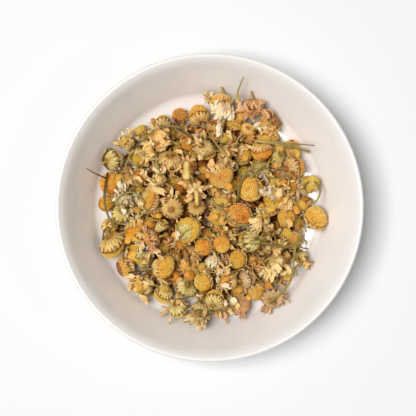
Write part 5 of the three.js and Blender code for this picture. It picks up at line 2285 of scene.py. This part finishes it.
@dataclass
class DryStalks:
    """The loose stalks, each a ridged tube along the middle of its solid, and those without one on top."""

    shop: Workshop
    sides: int = 8
    step: float = 0.5
    stiff: float = 0.7  # a stalk on top of a greater radius than this stays straight
    twig_radius: float = 0.65  # a twig's radius at the stalk, as a share of the stalk's
    seed: int = 5

    def make(self) -> None:
        """Models every stalk and hands it over."""
        rng = np.random.default_rng(self.seed)
        for name, stalk in STALKS.items():
            line = self._middle_line(name, stalk.plan)
            shares = np.linspace(0, 1, len(line))
            waves = 0.1 * np.sin(9 * shares + rng.random() * 6) + 0.05 * rng.normal(size=len(line))
            made = [self._tube(line, stalk.radius * (1 + waves))]
            for share, *run in stalk.twigs:
                at = int(share * (len(line) - 1))
                made.append(self._twig(line[at], run, stalk.radius * self.twig_radius, rng))
            self.shop.gather(f"dry_{name}", "dry_stalks", map(stalk.coloured, made), name, stain=False)
        laid = []
        for stalk in LAID_STALKS:
            line = self._laid_line(stalk.plan, stalk.radius)
            shares = np.linspace(0, 1, len(line))
            shape = 1 + 0.14 * np.sin(7 * shares + rng.random() * 6) - 0.5 * np.abs(2 * shares - 1) ** 6
            laid.append(stalk.coloured(self._tube(line, stalk.radius * shape)))
        self.shop.gather("stalks_on_top", "dry_stalks", laid, stain=False)

    def _laid_line(self, plan: Line, radius: float) -> Array:
        """A line that lies on the heap along a plan.

        Args:
            plan: The points that its plan runs through.
            radius: The stalk's radius.

        Returns:
            Points in millimetres.
        """
        flat = smooth_line(np.array(plan, dtype=float), 0.7)
        even = np.array([self.shop.rest(x, y, radius, 0.3) for x, y in flat])
        for level in (np.max, np.mean):
            padded = np.pad(even, 4, mode="edge")
            even = np.array([level(padded[k : k + 9]) for k in range(len(even))])
        if radius > self.stiff:
            order = np.arange(len(even))
            straight = np.polyval(np.polyfit(order, even, 1), order)
            even = straight + 0.6 * (even - straight).max()
        return smooth_line(np.column_stack([flat, even]), self.step)

    def _middle_line(self, name: str, plan: Line) -> Array:
        """The line along a solid's middle, smooth and closely spaced.

        Args:
            name: The solid.
            plan: The points that its plan runs through.

        Returns:
            Points in millimetres.
        """
        places = np.array([vertex.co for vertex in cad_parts[name].data.vertices]) / MM
        places = np.unique(places.round(3), axis=0)
        guide = smooth_line(np.array(plan, dtype=float), 0.1)
        nearest = ((places[:, None, :2] - guide[None]) ** 2).sum(axis=2).argmin(axis=1)
        order = np.argsort(nearest, kind="stable")
        rings = np.split(order, np.flatnonzero(np.diff(nearest[order]) > 9) + 1)
        middles = np.array([places[ring].mean(axis=0) for ring in rings])
        return smooth_line(middles, self.step)

    def _tube(self, line: Array, radii: Array) -> Pattern:
        """A tube with ridges and closed ends along a line.

        Args:
            line: Its middle line.
            radii: Its radius at each point.

        Returns:
            The tube's pattern.
        """
        bpy.ops.object.select_all(action="DESELECT")
        bpy.ops.curve.primitive_nurbs_path_add()
        curve = bpy.context.active_object.data
        curve.splines.clear()
        spline = curve.splines.new("POLY")
        spline.points.add(len(line) - 1)
        spline.points.foreach_set("co", np.column_stack([line, np.ones(len(line))]).ravel())
        spline.points.foreach_set("radius", radii)
        curve.dimensions = "3D"
        curve.bevel_depth = 1.0
        curve.bevel_resolution = self.sides // 2 - 2
        curve.use_fill_caps = True
        bpy.ops.object.convert(target="MESH")
        piece = bpy.context.active_object
        with Bench.editing(piece):
            bpy.ops.mesh.remove_doubles(threshold=1e-5)
            bpy.ops.mesh.normals_make_consistent(inside=False)
        tube = Pattern.taken_from(piece, Part.STUB)
        nearest = ((tube.points[:, None] - line[None]) ** 2).sum(axis=2).argmin(axis=1)
        side = tube.points - line[nearest]
        around = np.arctan2(side[:, 2], side[:, 0] + side[:, 1])
        tube.points = line[nearest] + side * (1 + 0.07 * np.cos(4 * around))[:, None]
        tube.form[:, 0] = around / math.pi
        tube.form[:, 1] = nearest / (len(line) - 1)
        tube.form[:, 2] = 0.9
        return tube

    def _twig(self, start: Array, run: Sequence[float], radius: float, rng: Rng) -> Pattern:
        """A short side twig.

        Args:
            start: Where it leaves the stalk.
            run: The way that it goes in the plan, in degrees, its length and its climb.
            radius: Its radius at the stalk.
            rng: Draws its bend.

        Returns:
            The twig's pattern.
        """
        way, length, climb = run
        angle = math.radians(way)
        shares = np.linspace(0, 1, 10)
        bend = rng.normal(0, 0.12) * length
        ahead = np.array([math.cos(angle), math.sin(angle), climb])
        side = np.array([-math.sin(angle), math.cos(angle), 0])
        line = start + shares[:, None] * length * ahead + (shares**2)[:, None] * bend * side
        return self._tube(line, radius * (1 - 0.35 * shares))


def smooth_line(points: Array, step: float) -> Array:
    """A smooth line through points, at even steps.

    Args:
        points: The points that it runs through.
        step: How far apart its points lie.

    Returns:
        The line's points.
    """
    ends = np.vstack([2 * points[0] - points[1], points, 2 * points[-1] - points[-2]])
    shares = np.linspace(0, 1, 40, endpoint=False)[:, None]
    line = []
    for a, b, c, d in zip(ends, ends[1:], ends[2:], ends[3:]):
        square, cube = 2 * a - 5 * b + 4 * c - d, 3 * b - a - 3 * c + d
        line.append(0.5 * (2 * b + (c - a) * shares + square * shares**2 + cube * shares**3))
    dense = np.vstack([*line, points[-1:]])
    travelled = np.concatenate([[0], np.cumsum(np.linalg.norm(np.diff(dense, axis=0), axis=1))])
    even = np.linspace(0, travelled[-1], max(2, round(travelled[-1] / step)) + 1)
    return np.column_stack([np.interp(even, travelled, dense[:, axis]) for axis in range(points.shape[1])])


# ---- the studio ----


@dataclass(frozen=True)
class Lamp:
    """A soft panel of light: how far, which way and how high it stands, its size and its power in watts."""

    distance: float
    way: float
    height: float
    width: float
    length: float
    power: float


@dataclass
class Studio:
    """The floor, the lamps and the camera."""

    floor_size: float = 6.0
    floor_shade: float = 0.757
    room_light: float = 0.2
    key: Lamp = Lamp(1.7, 174, 73, 0.74, 0.74, 30.6)
    right_panel: Lamp = Lamp(1.1, 0, 50, 0.12, 0.5, 0.8)
    front_panel: Lamp = Lamp(1.1, -48, 52, 0.12, 0.3, 0.35)
    lens: float = 100.0
    camera_place: tuple[float, float, float] = (-0.0006, -0.0002, 0.516)

    def make(self) -> None:
        """Sets the studio up."""
        floor = Bench.add(bpy.ops.mesh.primitive_plane_add, "studio_floor", size=self.floor_size)
        material = bpy.data.materials.new("white_paper")
        material.use_nodes = True
        surface = material.node_tree.nodes["Principled BSDF"]
        surface.inputs["Base Color"].default_value = (*[self.floor_shade] * 3, 1)
        surface.inputs["Roughness"].default_value = 0.9
        floor.data.materials.append(material)
        for name in ("key", "right_panel", "front_panel"):
            self._light(name, getattr(self, name))
        world = bpy.data.worlds.new("soft_room")
        world.use_nodes = True
        glow = world.node_tree.nodes["Background"].inputs
        glow["Color"].default_value = (1, 1, 1, 1)
        glow["Strength"].default_value = self.room_light
        scene = bpy.context.scene
        scene.world = world
        data = bpy.data.cameras.new("camera")
        data.lens = self.lens
        data.clip_start = 0.01
        scene.camera = bpy.data.objects.new("camera", data)
        scene.camera.location = self.camera_place
        scene.collection.objects.link(scene.camera)
        scene.view_settings.view_transform = "Standard"

    @staticmethod
    def _light(name: str, lamp: Lamp) -> None:
        """Adds a lamp that faces the bowl.

        Args:
            name: Its name.
            lamp: What it is like.
        """
        data = bpy.data.lights.new(name, "AREA")
        data.shape = "RECTANGLE"
        data.size, data.size_y = lamp.length, lamp.width
        data.energy = lamp.power
        light = bpy.data.objects.new(name, data)
        ahead = Vector(way_of(math.radians(90 - lamp.height), math.radians(lamp.way)))
        light.location = ahead * lamp.distance
        light.rotation_euler = ahead.to_track_quat("Z", "Y").to_euler()
        bpy.context.scene.collection.objects.link(light)


def main() -> None:
    """Makes every piece in order, after the studio."""
    logging.basicConfig(level=logging.INFO, format="%(name)s: %(message)s")
    Studio().make()
    finishes = Finishes()
    kit = FlowerKit(seed=3)
    bowl = GlazedBowl()
    bowl.make(finishes)
    shop = Workshop(Heap(), bowl, finishes, kit)
    for maker in (FlowerHeap, FloorCrumbsAndShade, LooseMatter, LaidMatter, DryStalks):
        maker(shop).make()


if __name__ == "__main__":
    main()
